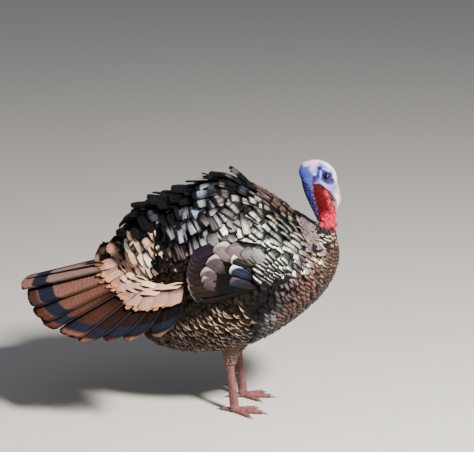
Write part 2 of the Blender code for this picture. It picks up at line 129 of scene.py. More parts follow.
# In the head's own axes: x towards the bill, lowest z, highest z, half width.
HEAD_ROWS = (
    (-0.0430, -0.0130, -0.0010, 0.0070),
    (-0.0360, -0.0260, 0.0130, 0.0150),
    (-0.0235, -0.0330, 0.0265, 0.0195),
    (-0.0090, -0.0320, 0.0345, 0.0200),
    (0.0070, -0.0260, 0.0375, 0.0185),
    (0.0230, -0.0190, 0.0345, 0.0158),
    (0.0370, -0.0145, 0.0250, 0.0118),
    (0.0460, -0.0115, 0.0165, 0.0085),
)
# The bill in the same axes and columns.
UPPER_BILL = (
    (0.0380, -0.0078, 0.0150, 0.0086),
    (0.0480, -0.0080, 0.0124, 0.0080),
    (0.0590, -0.0084, 0.0074, 0.0067),
    (0.0685, -0.0104, 0.0010, 0.0053),
    (0.0762, -0.0150, -0.0062, 0.0039),
    (0.0812, -0.0202, -0.0140, 0.0023),
    (0.0830, -0.0224, -0.0196, 0.0009),
)
LOWER_BILL = (
    (0.0320, -0.0160, -0.0086, 0.0078),
    (0.0440, -0.0158, -0.0087, 0.0073),
    (0.0560, -0.0148, -0.0091, 0.0060),
    (0.0650, -0.0138, -0.0110, 0.0041),
    (0.0695, -0.0134, -0.0120, 0.0016),
)
# The bare neck from the head down: centre x and z, half depth, half width.
BARE_NECK = (
    (0.1600, 0.5480, 0.0262, 0.0185),
    (0.1665, 0.5230, 0.0262, 0.0190),
    (0.1775, 0.4970, 0.0262, 0.0185),
    (0.1885, 0.4660, 0.0222, 0.0170),
    (0.1945, 0.4400, 0.0195, 0.0175),
    (0.1935, 0.4180, 0.0200, 0.0190),
)
# An eye's centre in the head's own axes, on the left side.
EYE_SPOT = (0.0160, 0.0122, 0.0165)
EYE_RADIUS = 0.0082


class Side(Enum):
    """One side of the bird, with the sign of Y there."""

    RIGHT = -1
    LEFT = 1

    @property
    def word(self) -> str:
        """The side as the names of pieces give it."""
        return self.name.lower()


# ------------------------------------------------------------------ small mathematics
def smoothstep(low: float, high: float, x: Array) -> Array:
    """A soft step from 0 at low to 1 at high."""
    t = np.clip((np.asarray(x, float) - low) / (high - low), 0.0, 1.0)
    return t * t * (3.0 - 2.0 * t)


def bump(x: Array, centre: float, width: float) -> Array:
    """A bell of height 1 round centre."""
    return np.exp(-(((np.asarray(x, float) - centre) / width) ** 2))


def mixed(first: Array, second: Array, share: Array) -> Array:
    """Rows of first turning into rows of second as share goes from 0 to 1."""
    share = np.asarray(share, float)[..., None]
    return np.asarray(first) * (1.0 - share) + np.asarray(second) * share


def unit(vectors: Array) -> Array:
    """Vectors of length one."""
    return vectors / np.maximum(np.linalg.norm(vectors, axis=-1, keepdims=True), 1e-12)


def speckle(points: Array, scale: float, seed: int = 0) -> Array:
    """Smooth noise from -1 to 1 at each point."""
    offset = Vector((seed * 7.3, seed * 3.1, seed * 5.7))
    return np.array([noise.noise(Vector(p) * scale + offset) for p in points])


def cells(points: Array, scale: float) -> Array:
    """Distance to the nearest of many scattered seeds, about 0 to 1."""
    return np.array([noise.voronoi(Vector(p) * scale)[0][0] for p in points])


class SmoothTable:
    """Rows of numbers that can be read smoothly at any place between them."""

    def __init__(self, rows: Sequence[Sequence[float]]) -> None:
        """Takes the rows.

        Args:
            rows: evenly numbered, one column for each quantity.
        """
        self.rows = np.array(rows, float)
        self.slopes = np.gradient(self.rows, axis=0)
        self.last = len(self.rows) - 1

    def __call__(self, t: Array) -> Array:
        """Reads the rows at any place.

        Args:
            t: row numbers, whole or not.

        Returns:
            one row for each number.
        """
        t = np.clip(np.asarray(t, float), 0.0, self.last)
        i = np.minimum(t.astype(int), self.last - 1)
        s = (t - i)[..., None]
        return (
            (2 * s**3 - 3 * s**2 + 1) * self.rows[i]
            + (s**3 - 2 * s**2 + s) * self.slopes[i]
            + (3 * s**2 - 2 * s**3) * self.rows[i + 1]
            + (s**3 - s**2) * self.slopes[i + 1]
        )


# ------------------------------------------------------------------ surfaces that carry feathers
class Surface:
    """A surface read by two numbers: t against the lie of the feathers, a across it."""

    def point(self, t: Array, a: Array) -> Array:
        """The place on the surface, in metres."""
        raise NotImplementedError

    def frame(self, t: Array, a: Array) -> tuple[Array, Array, Array, Array]:
        """Place and directions.

        Args:
            t, a: where on the surface.

        Returns:
            place, change with t, change with a, outward normal.
        """
        step = 1e-3
        place = self.point(t, a)
        by_t = (self.point(t + step, a) - self.point(t - step, a)) / (2 * step)
        by_a = (self.point(t, a + step) - self.point(t, a - step)) / (2 * step)
        return place, by_t, by_a, unit(np.cross(by_a, by_t))


def rounded(a: Array, power: float) -> tuple[Array, Array]:
    """Side and height of a superellipse at angle a, counted from its top."""
    return tuple(np.sign(v) * np.abs(v) ** (2 / power) for v in (np.sin(a), np.cos(a)))


class Body(Surface):
    """The plumage of trunk and neck base; a is 0 on the back and grows to the bird's right."""

    def __init__(self) -> None:
        """Reads the rings."""
        self.table = SmoothTable(BODY_RINGS)

    def point(self, t: Array, a: Array) -> Array:
        """The place on the plumage; past both ends it closes.

        Args:
            t: ring number, from the rump forwards.
            a: angle from the back line.

        Returns:
            the places.
        """
        row = self.table(t)
        behind = np.maximum(-np.asarray(t, float), 0.0)
        above = np.maximum(np.asarray(t, float) - self.table.last, 0.0)
        left = np.maximum(1.0 - behind / 2.8, 0.03) ** 0.7  # what is left of the closing end
        top, low = row[..., 0:2], row[..., 2:4]
        top = low + (top - low) * left[..., None]
        centre = low + (top - low) * BODY_LEVEL
        side, high = rounded(a, BODY_POWER)
        side = side * (0.4 + 0.6 * left)
        high = np.where(high > 0, (1 - BODY_LEVEL) * high, BODY_LEVEL * high)[..., None]
        flat = centre + (top - low) * high
        x = flat[..., 0] - behind * 0.019 + FEET_X
        z = flat[..., 1] + above * 0.015 - behind * 0.0053
        return np.stack([x, -side * row[..., 4], z], axis=-1)


class Wing(Surface):
    """A folded wing's outer face; t is 0 at its rear, a is 0 at its top edge."""

    def __init__(self, sign: int) -> None:
        """Args: sign: -1 for the right wing, 1 for the left."""
        self.sign = sign
        self.table = SmoothTable(WING_ROWS)

    def point(self, t: Array, a: Array) -> Array:
        """The place on the folded wing.

        Args:
            t: row number, from the rear.
            a: angle from the top edge.

        Returns:
            the places.
        """
        row = self.table(t)
        side, high = rounded(a, 2.3)
        tall = (row[..., 2] - row[..., 1]) / 2
        middle = (row[..., 2] + row[..., 1]) / 2
        out = row[..., 3] - 0.10 * np.maximum(0.0, tall * high) + row[..., 4] * side
        x = row[..., 0] + np.minimum(t, 0.0) * 0.016 + FEET_X
        x = x + np.maximum(t - self.table.last, 0.0) * 0.02
        return np.stack([x, self.sign * out, middle + tall * high], axis=-1)

    def frame(self, t: Array, a: Array) -> tuple[Array, Array, Array, Array]:
        """As on any surface, with the normal away from the body."""
        place, by_t, by_a, normal = super().frame(t, a)
        return place, by_t, by_a, normal * -self.sign


class Thigh(Surface):
    """The feathered leg; t is 0 at the hock, a goes round it from the back."""

    def __init__(self, sign: int) -> None:
        """Args: sign: -1 for the right leg, 1 for the left."""
        self.sign = sign
        self.table = SmoothTable(THIGH_ROWS)

    def point(self, t: Array, a: Array) -> Array:
        """The place on the feathered leg.

        Args:
            t: row number, from the hock up.
            a: angle from behind.

        Returns:
            the places.
        """
        row = self.table(t)
        under = np.minimum(t, 0.0) * 0.02 + np.maximum(t - self.table.last, 0.0) * 0.03
        x = row[..., 0] - row[..., 2] * np.cos(a) + FEET_X
        y = self.sign * STANCE / 2 - row[..., 3] * np.sin(a)
        return np.stack([x, y, row[..., 1] + under], axis=-1)


class Fan(Surface):
    """The tail's upper side; t is minus the distance out, a the fan's angle."""

    def __init__(self, lift: float, slope: float = 0.0) -> None:
        """Args: lift: height over the tail feathers; slope: extra height towards the root."""
        self.lift, self.slope = lift, slope

    def direction(self, a: Array) -> Array:
        """The way a tail feather points.

        Args:
            a: the fan's angle; the bird's right is positive.

        Returns:
            unit vectors.
        """
        side, ahead = np.sin(a), np.cos(a)
        return unit(
            np.stack(
                [
                    -ahead * math.cos(TAIL_DROOP),
                    -side * TAIL_SPREAD,
                    -ahead * math.sin(TAIL_DROOP) - (side**2 + 0.004) ** 0.7 * TAIL_HANG,
                ],
                axis=-1,
            )
        )

    def point(self, t: Array, a: Array) -> Array:
        """The place on the tail.

        Args:
            t: minus the distance from the root.
            a: the fan's angle.

        Returns:
            the places.
        """
        out = -np.asarray(t, float)
        step = 0.02
        way = self.direction(a)
        normal = unit(np.cross(way, self.direction(a + step) - self.direction(a - step)))
        lift = self.lift + self.slope * np.clip(1.0 - out / 0.2, 0.0, 1.0)
        return np.array(TAIL_ROOT) + FEET + way * out[..., None] + normal * lift[..., None]


# ------------------------------------------------------------------ vanes
@dataclass(frozen=True)
class VaneShape:
    """How one kind of feather is cut and how finely it is meshed."""

    columns: int = 5  # odd, across the upper side
    stations: int = 7  # along the shaft
    tip_share: float = 0.9  # length of the rounded tip over the half width
    tip_power: float = 2.3  # 2 is a half circle, more is squarer
    root_width: float = 0.35
    camber: float = 0.22
    thickness: float = 0.0007
    tip_stations: int = 4
    fray: float = 0.0  # how deep the tip is torn


@dataclass
class Vanes:
    """A batch of feathers before they are meshed: a row for each, or one for all."""

    t: Array
    a: Array
    length: Array
    width: Array
    turn: Array  # radians from straight down the lie of the coat, towards larger a
    roll: Array
    sink: Array  # how deep the root lies
    rise: Array  # how high the tip stands over the outer surface
    curl: Array  # extra height at the very tip
    ground: Array  # colour of the vane, RGB
    rim: Array  # colour of its edge, RGB
    traits: Array  # where the rim starts, gloss, a number of its own

    def __post_init__(self) -> None:
        """Lets a number or a colour that is given once hold for every feather."""
        for name in self.__dataclass_fields__:
            wide = (len(self.a), 3) if name in ("ground", "rim", "traits") else (len(self.a),)
            setattr(self, name, np.array(np.broadcast_to(getattr(self, name), wide), float))

    def __len__(self) -> int:
        """The number of feathers."""
        return len(self.t)

    def part(self, keep: Array) -> Vanes:
        """The feathers that keep picks, as a batch of their own."""
        return Vanes(*(getattr(self, name)[keep] for name in self.__dataclass_fields__))


def join(batches: Sequence[Vanes]) -> Vanes:
    """Several batches as one."""
    names = Vanes.__dataclass_fields__
    return Vanes(*(np.concatenate([getattr(b, n) for b in batches]) for n in names))


def stations(vanes: Vanes, shape: VaneShape) -> tuple[Array, Array]:
    """Where each feather has its rings.

    Args:
        vanes: the feathers.
        shape: their cut.

    Returns:
        places along each shaft from 0 to 1, and the half width there.
    """
    tip = np.clip(shape.tip_share * vanes.width / 2 / vanes.length, 0.04, 0.75)[:, None]
    plain = shape.stations - shape.tip_stations
    body = np.linspace(0.0, 1.0, plain + 1)[None, :-1] * (1 - tip)
    angle = np.linspace(0.0, math.pi / 2, shape.tip_stations + 1)[None, :]
    end = (1 - tip) + tip * np.sin(angle)
    v = np.concatenate([body, end], axis=1)
    past = np.clip((v - (1 - tip)) / tip, 0.0, 1.0)
    outline = (1.0 - past**shape.tip_power) ** (1.0 / shape.tip_power)
    outline = np.maximum(outline, 0.10)
    root = shape.root_width + (1 - shape.root_width) * smoothstep(0.0, 0.42, v)
    return v, vanes.width[:, None] / 2 * outline * root


def trace(surface: Surface, vanes: Vanes, v: Array) -> tuple[Array, Array]:
    """Follows the lie of the coat from each root.

    Args:
        surface: what the feathers lie on.
        vanes: the feathers.
        v: places along each shaft.

    Returns:
        shaft points and normals.
    """
    t, a = vanes.t.copy(), vanes.a.copy()
    points, normals = [], []
    for j in range(v.shape[1]):
        place, by_t, by_a, normal = surface.frame(t, a)
        height = -vanes.sink + (vanes.sink + vanes.rise) * v[:, j] ** 0.85
        height = height + vanes.curl * v[:, j] ** 3
        points.append(place + normal * height[:, None])
        normals.append(normal)
        if j + 1 < v.shape[1]:
            climb = (vanes.sink + vanes.rise + vanes.curl) / vanes.length
            step = (v[:, j + 1] - v[:, j]) * vanes.length
            step = step * np.sqrt(np.clip(1 - climb**2, 0.2, 1.0))
            t = t - np.cos(vanes.turn) * step / np.linalg.norm(by_t, axis=1)
            a = a + np.sin(vanes.turn) * step / np.linalg.norm(by_a, axis=1)
    return np.stack(points, axis=1), np.stack(normals, axis=1)


def vane_faces(count: int, shape: VaneShape) -> list[Array]:
    """Faces of all feathers of a batch.

    Args:
        count: the number of feathers.
        shape: their cut.

    Returns:
        the sides as quads, and the faces that close both ends.
    """
    ring = shape.columns + 1
    rows = shape.stations + 1
    base = np.arange(count)[:, None, None] * ring * rows
    i = np.arange(rows - 1)[None, :, None] * ring
    k = np.arange(ring)[None, None, :]
    k2 = (k + 1) % ring
    quads = np.stack([base + i + k, base + i + k2, base + i + ring + k2, base + i + ring + k], -1)
    ends = np.arange(ring)
    first = np.arange(count)[:, None] * ring * rows + ends[::-1][None, :]
    last = np.arange(count)[:, None] * ring * rows + (rows - 1) * ring + ends[None, :]
    return [quads.reshape(-1, 4), first, last]


def vane_points(surface: Surface, vanes: Vanes, shape: VaneShape) -> tuple[Array, Array]:
    """Vertices of all feathers of a batch.

    Args:
        surface: what they lie on.
        vanes: the feathers.
        shape: their cut.

    Returns:
        vertices by feather, station and ring, and their place in the vane.
    """
    v, half = stations(vanes, shape)
    shaft, normal = trace(surface, vanes, v)
    along = unit(np.gradient(shaft, axis=1))
    across = unit(np.cross(along, normal))
    roll = vanes.roll[:, None, None]
    up = unit(np.cross(across, along))
    across, up = across * np.cos(roll) + up * np.sin(roll), up * np.cos(roll) - across * np.sin(roll)
    c = np.linspace(-1.0, 1.0, shape.columns)
    offset = half[:, :, None] * c
    drop = -shape.camber * half[:, :, None] * np.abs(c) ** 1.7
    top = (
        shaft[:, :, None, :]
        + across[:, :, None, :] * offset[..., None]
        + up[:, :, None, :] * drop[..., None]
    )
    torn = np.sin(vanes.traits[:, 2:3] * 91.7 + np.arange(shape.columns) * 12.9) * 437.5
    torn = (torn - np.floor(torn))[:, None, :] * smoothstep(0.90, 1.0, v)[:, :, None]
    top = top - along[:, :, None, :] * (shape.fray * torn)[..., None]
    thick = shape.thickness * (1.0 - 0.75 * v)[..., None]
    rib = (shaft - up * thick)[:, :, None, :]
    points = np.concatenate([top, rib], axis=2)
    place = np.zeros((*points.shape[:3], 2))
    place[..., :-1, 0] = (c + 1) / 2
    place[..., -1, 0] = 0.5
    place[..., 1] = v[:, :, None]
    return points, place


def make_mesh(name: str, points: Array, faces: Sequence[Array]) -> bpy.types.Mesh:
    """A smooth mesh.

    Args:
        name: its name.
        points: its vertices.
        faces: arrays of faces, each of one face size.

    Returns:
        the mesh.
    """
    mesh = bpy.data.meshes.new(name)
    mesh.vertices.add(len(points))
    mesh.vertices.foreach_set("co", np.ascontiguousarray(points, np.float32).ravel())
    loops = np.concatenate([f.ravel() for f in faces])
    sizes = np.concatenate([np.full(len(f), f.shape[1]) for f in faces])
    mesh.loops.add(len(loops))
    mesh.loops.foreach_set("vertex_index", loops.astype(np.int32))
    mesh.polygons.add(len(sizes))
    starts = np.concatenate([[0], np.cumsum(sizes)[:-1]])
    mesh.polygons.foreach_set("loop_start", starts.astype(np.int32))
    mesh.update(calc_edges=True)
    mesh.shade_smooth()
    return mesh


def add_colour(mesh: bpy.types.Mesh, name: str, values: Array) -> None:
    """Stores one RGB colour for each vertex.

    Args:
        mesh: where.
        name: under what name.
        values: the colours.
    """
    layer = mesh.attributes.new(name, "FLOAT_COLOR", "POINT")
    rgba = np.ones((len(values), 4), np.float32)
    rgba[:, :3] = values
    layer.data.foreach_set("color", rgba.ravel())


def add_vector(mesh: bpy.types.Mesh, name: str, values: Array) -> None:
    """Stores three numbers for each vertex."""
    layer = mesh.attributes.new(name, "FLOAT_VECTOR", "POINT")
    layer.data.foreach_set("vector", np.ascontiguousarray(values, np.float32).ravel())


def add_map(mesh: bpy.types.Mesh, name: str, by_vertex: Array) -> None:
    """Stores a UV map.

    Args:
        mesh: where.
        name: the map's name.
        by_vertex: one place for each vertex.
    """
    corner = np.zeros(len(mesh.loops), np.int32)
    mesh.loops.foreach_get("vertex_index", corner)
    layer = mesh.uv_layers.new(name=name)
    layer.uv.foreach_set("vector", np.ascontiguousarray(by_vertex[corner], np.float32).ravel())


def root_patches(vanes: Vanes, place: Array, patch: Array) -> Array:
    """Each feather's own patch, at its root's place on an unwrap of the surface.

    Args:
        vanes: the feathers.
        place: each vertex's place in its vane.
        patch: width and height of a patch.

    Returns:
        a place on the map for each vertex.
    """
    span = [(v.min(), max(float(np.ptp(v)), 1e-6)) for v in (vanes.a, vanes.t)]
    centre = np.stack(
        [(v - low) / size for v, (low, size) in zip((vanes.a, vanes.t), span)], axis=-1
    )
    centre = 0.5 + (centre - 0.5) * (1 - 2 * patch)
    return centre[:, None, None, :] + (place - 0.5) * patch


@dataclass(frozen=True)
class Coat:
    """One piece of coat: its name, its cut, the size of its bake patches and its finish."""

    name: str
    shape: VaneShape
    slot: str
    patch: tuple[float, float] = (0.004, 0.004)

    def build(self, surface: Surface, vanes: Vanes, finish: bpy.types.Material) -> bpy.types.Object:
        """Meshes a batch of feathers.

        Args:
            surface: what they lie on.
            vanes: the feathers.
            finish: their material.

        Returns:
            The object, riding on the CAD frame.
        """
        points, place = vane_points(surface, vanes, self.shape)
        flat = points.reshape(-1, 3)
        flat[:, 2] = np.maximum(flat[:, 2], FLOOR_GAP)
        mesh = make_mesh(self.name, flat, vane_faces(len(vanes), self.shape))
        each = points.shape[1] * points.shape[2]
        bake = root_patches(vanes, place, np.array(self.patch))
        add_map(mesh, "OFBake", bake.reshape(-1, 2))
        add_map(mesh, "vane", place.reshape(-1, 2))
        add_colour(mesh, "ground", np.repeat(vanes.ground, each, axis=0))
        add_colour(mesh, "rim", np.repeat(vanes.rim, each, axis=0))
        add_vector(mesh, "traits", np.repeat(vanes.traits, each, axis=0))
        mesh.materials.append(finish)
        triangles = len(vanes) * (self.shape.stations * (self.shape.columns + 1) * 2 + 8)
        LOG.info("%s: %d feathers, about %d triangles", self.name, len(vanes), triangles)
        return placed(self.name, mesh, self.slot)


def placed(name: str, mesh: bpy.types.Mesh, slot: str) -> bpy.types.Object:
    """Puts a mesh in the scene, riding on the frame.

    Args:
        name: the piece's name.
        mesh: its shape.
        slot: not used.

    Returns:
        the piece.
    """
    obj = bpy.data.objects.new(name, mesh)
    bpy.context.scene.collection.objects.link(obj)
    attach(obj, "root")
    return obj


# ------------------------------------------------------------------ laying feathers out in rows
@dataclass(frozen=True)
class Lattice:
    """Rows of feathers over a surface, square to the lie of the coat.

    Each row starts on the line a = start and is followed towards a = stop; all functions
    take t and a.
    """

    surface: Surface
    start: float
    stop: float
    gap: Callable[[Array, Array], Array]  # between rows, measured on the starting line
    pitch: Callable[[Array, Array], Array]  # between feathers of a row
    turn: Callable[[Array, Array], Array]  # the lie, from straight along t towards larger a

    def starts(self, low: float, high: float) -> Array:
        """Row numbers on the starting line.

        Args:
            low, high: the range of t.

        Returns:
            them, from high down to low.
        """
        found, t = [], high
        while t > low:
            found.append(t)
            here, side = np.array([t]), np.array([self.start])
            _, by_t, _, _ = self.surface.frame(here, side)
            t -= float(self.gap(here, side)[0] / np.linalg.norm(by_t[0]))
        return np.array(found)

    def rows(self, low: float, high: float, steps: int = 72) -> tuple[Array, Array, Array]:
        """Follows every row.

        Args:
            low, high: the range of t on the starting line.
            steps: points along a row.

        Returns:
            t and a, one row each, and the length run so far.
        """
        t = self.starts(low, high)
        line = np.linspace(self.start, self.stop, steps)
        ts, run, place = [t], [np.zeros(len(t))], None
        for k, a in enumerate(line):
            side = np.full(len(t), a)
            here, by_t, by_a, _ = self.surface.frame(t, side)
            if place is not None:
                run.append(run[-1] + np.linalg.norm(here - place, axis=1))
            place = here
            if k + 1 < steps:
                lean = np.tan(self.turn(t, side))
                rate = np.linalg.norm(by_a, axis=1) / np.linalg.norm(by_t, axis=1)
                t = t + lean * rate * (line[k + 1] - a)
                ts.append(t)
        return np.stack(ts, 1), np.broadcast_to(line, (len(ts[0]), steps)), np.stack(run, 1)

    def roots(self, low: float, high: float, seed: int) -> tuple[Array, Array]:
        """Where the feathers stand.

        Args:
            low, high: the range of t on the starting line.
            seed: the tract's own number.

        Returns:
            t and a.
        """
        rng = np.random.default_rng(SEED + seed)
        out_t, out_a = [], []
        ts, lines, runs = self.rows(low, high)
        for number, (t, a, run) in enumerate(zip(ts, lines, runs)):
            density = 1.0 / self.pitch(t, a)
            middle = (density[1:] + density[:-1]) / 2 * np.diff(run)
            count = np.concatenate([[0.0], np.cumsum(middle)])
            at = np.arange(0.25 + 0.5 * (number % 2), count[-1], 1.0)
            at = at + rng.normal(0.0, 0.10, len(at))
            out_t.append(np.interp(at, count, t) + rng.normal(0.0, 0.012, len(at)))
            out_a.append(np.interp(at, count, a))
        return np.concatenate(out_t), np.concatenate(out_a)


def both_sides(t: Array, a: Array) -> tuple[Array, Array, Array]:
    """Mirrors places to the other side. Returns: t, a and the side's sign."""
    side = np.concatenate([np.ones(len(a)), -np.ones(len(a))])
    return np.concatenate([t, t]), np.concatenate([a, -a]), side


def palette(*stops: tuple[float, tuple[float, float, float]]) -> Callable[[Array], Array]:
    """A run of colours.

    Args:
        stops: numbers in rising order, each with its colour.

    Returns:
        a function from a number to its colour.
    """
    at = np.array([s[0] for s in stops])
    rows = np.array([s[1] for s in stops])

    def read(x: Array) -> Array:
        """The colour at each place."""
        return np.stack([np.interp(x, at, rows[:, k]) for k in range(3)], axis=-1)

    return read


# ------------------------------------------------------------------ shaders
class Value:
    """One shader value. Arithmetic on it makes the nodes that compute it."""

    def __init__(self, graph: Graph, socket: bpy.types.NodeSocket) -> None:
        """Takes the socket that gives the value."""
        self.graph, self.socket = graph, socket

    def _math(self, operation: str, *others: Value | float) -> Value:
        """A math node over this value.

        Args:
            operation: the node's own name for it.
            others: what else it takes.

        Returns:
            its result.
        """
        made = self.graph.node("ShaderNodeMath", {"operation": operation})
        for slot, value in zip(made.inputs, (self, *others)):
            self.graph.feed(slot, value)
        return Value(self.graph, made.outputs[0])

    def __add__(self, other: Value | float) -> Value:
        """The sum."""
        return self._math("ADD", other)

    def __sub__(self, other: Value | float) -> Value:
        """The difference."""
        return self._math("SUBTRACT", other)

    def __rsub__(self, other: float) -> Value:
        """A number less this value."""
        return (self * -1.0) + other

    def __mul__(self, other: Value | float) -> Value:
        """The product."""
        return self._math("MULTIPLY", other)

    def __pow__(self, other: float) -> Value:
        """The power."""
        return self._math("POWER", other)

    __radd__ = __add__
    __rmul__ = __mul__

    def absolute(self) -> Value:
        """The value without its sign."""
        return self._math("ABSOLUTE")

    def sine(self) -> Value:
        """The sine of the value in radians."""
        return self._math("SINE")

    def step(self, low: Value | float, high: Value | float) -> Value:
        """A soft step.

        Args:
            low: where it is 0.
            high: where it is 1.

        Returns:
            the step.
        """
        made = self.graph.node(
            "ShaderNodeMapRange",
            {"interpolation_type": "SMOOTHSTEP"},
            {"Value": self, "From Min": low, "From Max": high},
        )
        return Value(self.graph, made.outputs["Result"])

    def mix(self, first: Value | tuple, second: Value | tuple) -> Value:
        """Blends two colours by this value.

        Args:
            first: the colour at 0.
            second: the colour at 1.

        Returns:
            the blend.
        """
        made = self.graph.node("ShaderNodeMix", {"data_type": "RGBA"})
        for slot, value in ((0, self), (6, first), (7, second)):
            self.graph.feed(made.inputs[slot], value)
        return Value(self.graph, made.outputs[2])

    def scaled(self, by: Value | float) -> Value:
        """A colour made brighter or darker."""
        made = self.graph.node("ShaderNodeVectorMath", {"operation": "SCALE"}, {0: self, "Scale": by})
        return Value(self.graph, made.outputs[0])

    def split(self) -> tuple[Value, Value, Value]:
        """The three numbers of a vector."""
        made = self.graph.node("ShaderNodeSeparateXYZ", {}, {0: self})
        return tuple(Value(self.graph, s) for s in made.outputs)


class Graph:
    """The nodes of one material."""

    def __init__(self, name: str) -> None:
        """Makes the material.

        Args:
            name: its name.
        """
        self.material = bpy.data.materials.new(name)
        self.material.use_nodes = True
        self.shader = self.material.node_tree.nodes["Principled BSDF"]

    def feed(self, slot: bpy.types.NodeSocket, value: Value | float | tuple) -> None:
        """Links a value to a socket, or sets the socket itself.

        Args:
            slot: the socket.
            value: a value, number or colour.
        """
        if isinstance(value, Value):
            self.material.node_tree.links.new(value.socket, slot)
        elif isinstance(value, tuple):
            slot.default_value = (*value, 1.0)[: len(slot.default_value)]
        else:
            slot.default_value = value

    def node(
        self, kind: str, settings: dict | None = None, inputs: dict | None = None
    ) -> bpy.types.Node:
        """Makes a node.

        Args:
            kind: its type.
            settings: its properties by name.
            inputs: what its sockets take, by name or number.

        Returns:
            the node.
        """
        made = self.material.node_tree.nodes.new(kind)
        for name, value in (settings or {}).items():
            setattr(made, name, value)
        for name, value in (inputs or {}).items():
            self.feed(made.inputs[name], value)
        return made

    def attribute(self, name: str, output: str = "Color") -> Value:
        """What the mesh stores under a name."""
        return Value(self, self.node("ShaderNodeAttribute", {"attribute_name": name}).outputs[output])

    def uv(self, name: str) -> Value:
        """A UV map's place."""
        return Value(self, self.node("ShaderNodeUVMap", {"uv_map": name}).outputs["UV"])

    def place(self) -> Value:
        """The object's own coordinates."""
        return Value(self, self.node("ShaderNodeTexCoord").outputs["Object"])

    def noise(self, scale: float, detail: float = 2.0, at: Value | None = None) -> Value:
        """Smooth noise from 0 to 1."""
        inputs = {"Vector": at or self.place(), "Scale": scale, "Detail": detail}
        return Value(self, self.node("ShaderNodeTexNoise", {}, inputs).outputs["Fac"])

    def cells(self, scale: float) -> Value:
        """Distance to the nearest of many scattered seeds."""
        made = self.node("ShaderNodeTexVoronoi", {}, {"Vector": self.place(), "Scale": scale})
        return Value(self, made.outputs["Distance"])

    def bump(self, height: Value, strength: float, distance: float) -> None:
        """Lets a height shape the light on the surface.

        Args:
            height: the height.
            strength: how strongly.
            distance: its depth in metres.
        """
        inputs = {"Height": height, "Strength": strength, "Distance": distance}
        made = self.node("ShaderNodeBump", {}, inputs)
        self.shader_input("Normal", Value(self, made.outputs[0]))

    def shader_input(self, name: str, value: Value | float | tuple) -> None:
        """Sets or links an input of the material's shader."""
        self.feed(self.shader.inputs[name], value)


@dataclass(frozen=True)
class FeatherFinish:
    """Feathers: a ground colour, a rim, fine barbs, and bars and a band where asked; painted shade at
    the root, on one side and along the edges, and painted sheen in lines along the vane.
    """

    name: str
    roughness: float = 0.40
    barbs: float = 46.0
    bars: float = 0.0  # bars along the vane
    bar_depth: float = 0.0
    band: tuple[float, float] | None = None  # a dark band, from and to along the vane
    band_colour: tuple[float, float, float] = (0.018, 0.020, 0.030)
    rachis: float = 0.5  # how pale the shaft is
    root: tuple[float, float] = (0.45, 0.78)  # where the painted shade at the root, as under the row above, gives way to the colour
    reach: float = 0.0  # how far gloss moves the colour, and the edge of the painted root shade, towards the root
    wrap: float = 0.075  # how far the rim comes down the sides
    margin: float = 0.0  # how dark the painted shadow along both side edges is, where neighbours overlap
    streaks: float = 0.35  # how deep the dull lines between the painted sheen lines along the vane are
    dull: float = 0.47  # how much of the vane they take
    lines: float = 9.0  # how many there are, about
    upper: float = 0.0  # how far the rim comes down one side; on dark coverts a pale rim there is a painted highlight
    sheen: float = 0.28  # specular level
    soft: float = 0.025  # how softly the rim begins
    shift: float = 0.0  # how far band and rim move from feather to feather
    shadow: float = 0.0  # how dark one side of the vane is

    def build(self) -> bpy.types.Material:
        """Returns: the finished material."""
        g = Graph(self.name)
        x, y, _ = g.uv("vane").split()
        across = (x * 2.0 - 1.0).absolute()
        start, gloss, own = g.attribute("traits", "Vector").split()
        ground, rim = g.attribute("ground"), g.attribute("rim")
        ragged = g.noise(420.0) * 0.10 - 0.05
        barb = ((y * self.barbs - across * 7.0 + own * 6.0) * (2 * math.pi)).sine() * 0.5 + 0.5
        # Painted shade: darker towards the root, where the row above shades it.
        shade = (y + gloss * self.reach).step(*self.root) * 0.93 + 0.07
        mottle = g.noise(190.0, 3.0) * 1.2 + 0.40
        # Painted sheen: dull lines between bright ones along the vane, deeper on glossier feathers.
        lines = {"X": x * self.lines + y * 0.8, "Y": y * 0.9, "Z": own * 50.0}
        drawn = Value(g, g.node("ShaderNodeCombineXYZ", {}, lines).outputs[0])
        dull = 1.0 - g.noise(1.0, 1.0, drawn).step(self.dull - 0.09, self.dull + 0.09)
        streak = 1.0 - dull * gloss * (2.0 * self.streaks)
        colour = ground.scaled(shade * streak * mottle * (barb * 0.24 + 0.84))
        if self.shadow:
            colour = colour.scaled(1.0 - (1.0 - x.step(0.10, 0.75)) * self.shadow)
        if self.bars:
            wave = ((y + ragged * 0.35 - across * 0.03) * (2 * math.pi * self.bars)).sine()
            colour = (wave.step(0.0, 0.75) * self.bar_depth).mix(colour, colour.scaled(0.16))
        edge = y + across**5.0 * self.wrap + x**3.0 * self.upper + ragged * 0.3
        if self.shift:
            edge = edge + (own - 0.5) * self.shift
        if self.band:
            low, high = self.band
            inside = edge.step(low - 0.012, low + 0.012) * (1.0 - edge.step(high - 0.008, high + 0.008))
            colour = (inside * gloss * 24.0).mix(colour, self.band_colour)
        rims = edge.step(start - self.soft, start + self.soft)
        colour = rims.mix(colour, rim.scaled(barb * 0.25 + 0.82))
        shaft = 1.0 - across.step(0.012, 0.05)
        colour = (shaft * self.rachis * 0.6).mix(colour, (0.30, 0.20, 0.13))
        # Painted shadow along both side edges, where neighbours overlap.
        if self.margin:
            colour = (across.step(0.66, 0.92) * self.margin).mix(colour, colour.scaled(0.10))
        g.shader_input("Base Color", colour)
        g.shader_input("Metallic", gloss * (1.0 - rims * 0.75))
        g.shader_input("Roughness", rims * 0.18 + self.roughness)
        g.shader_input("Specular IOR Level", self.sheen)
        g.bump(barb + shaft * 2.0, 0.35, 0.0004)
        return g.material


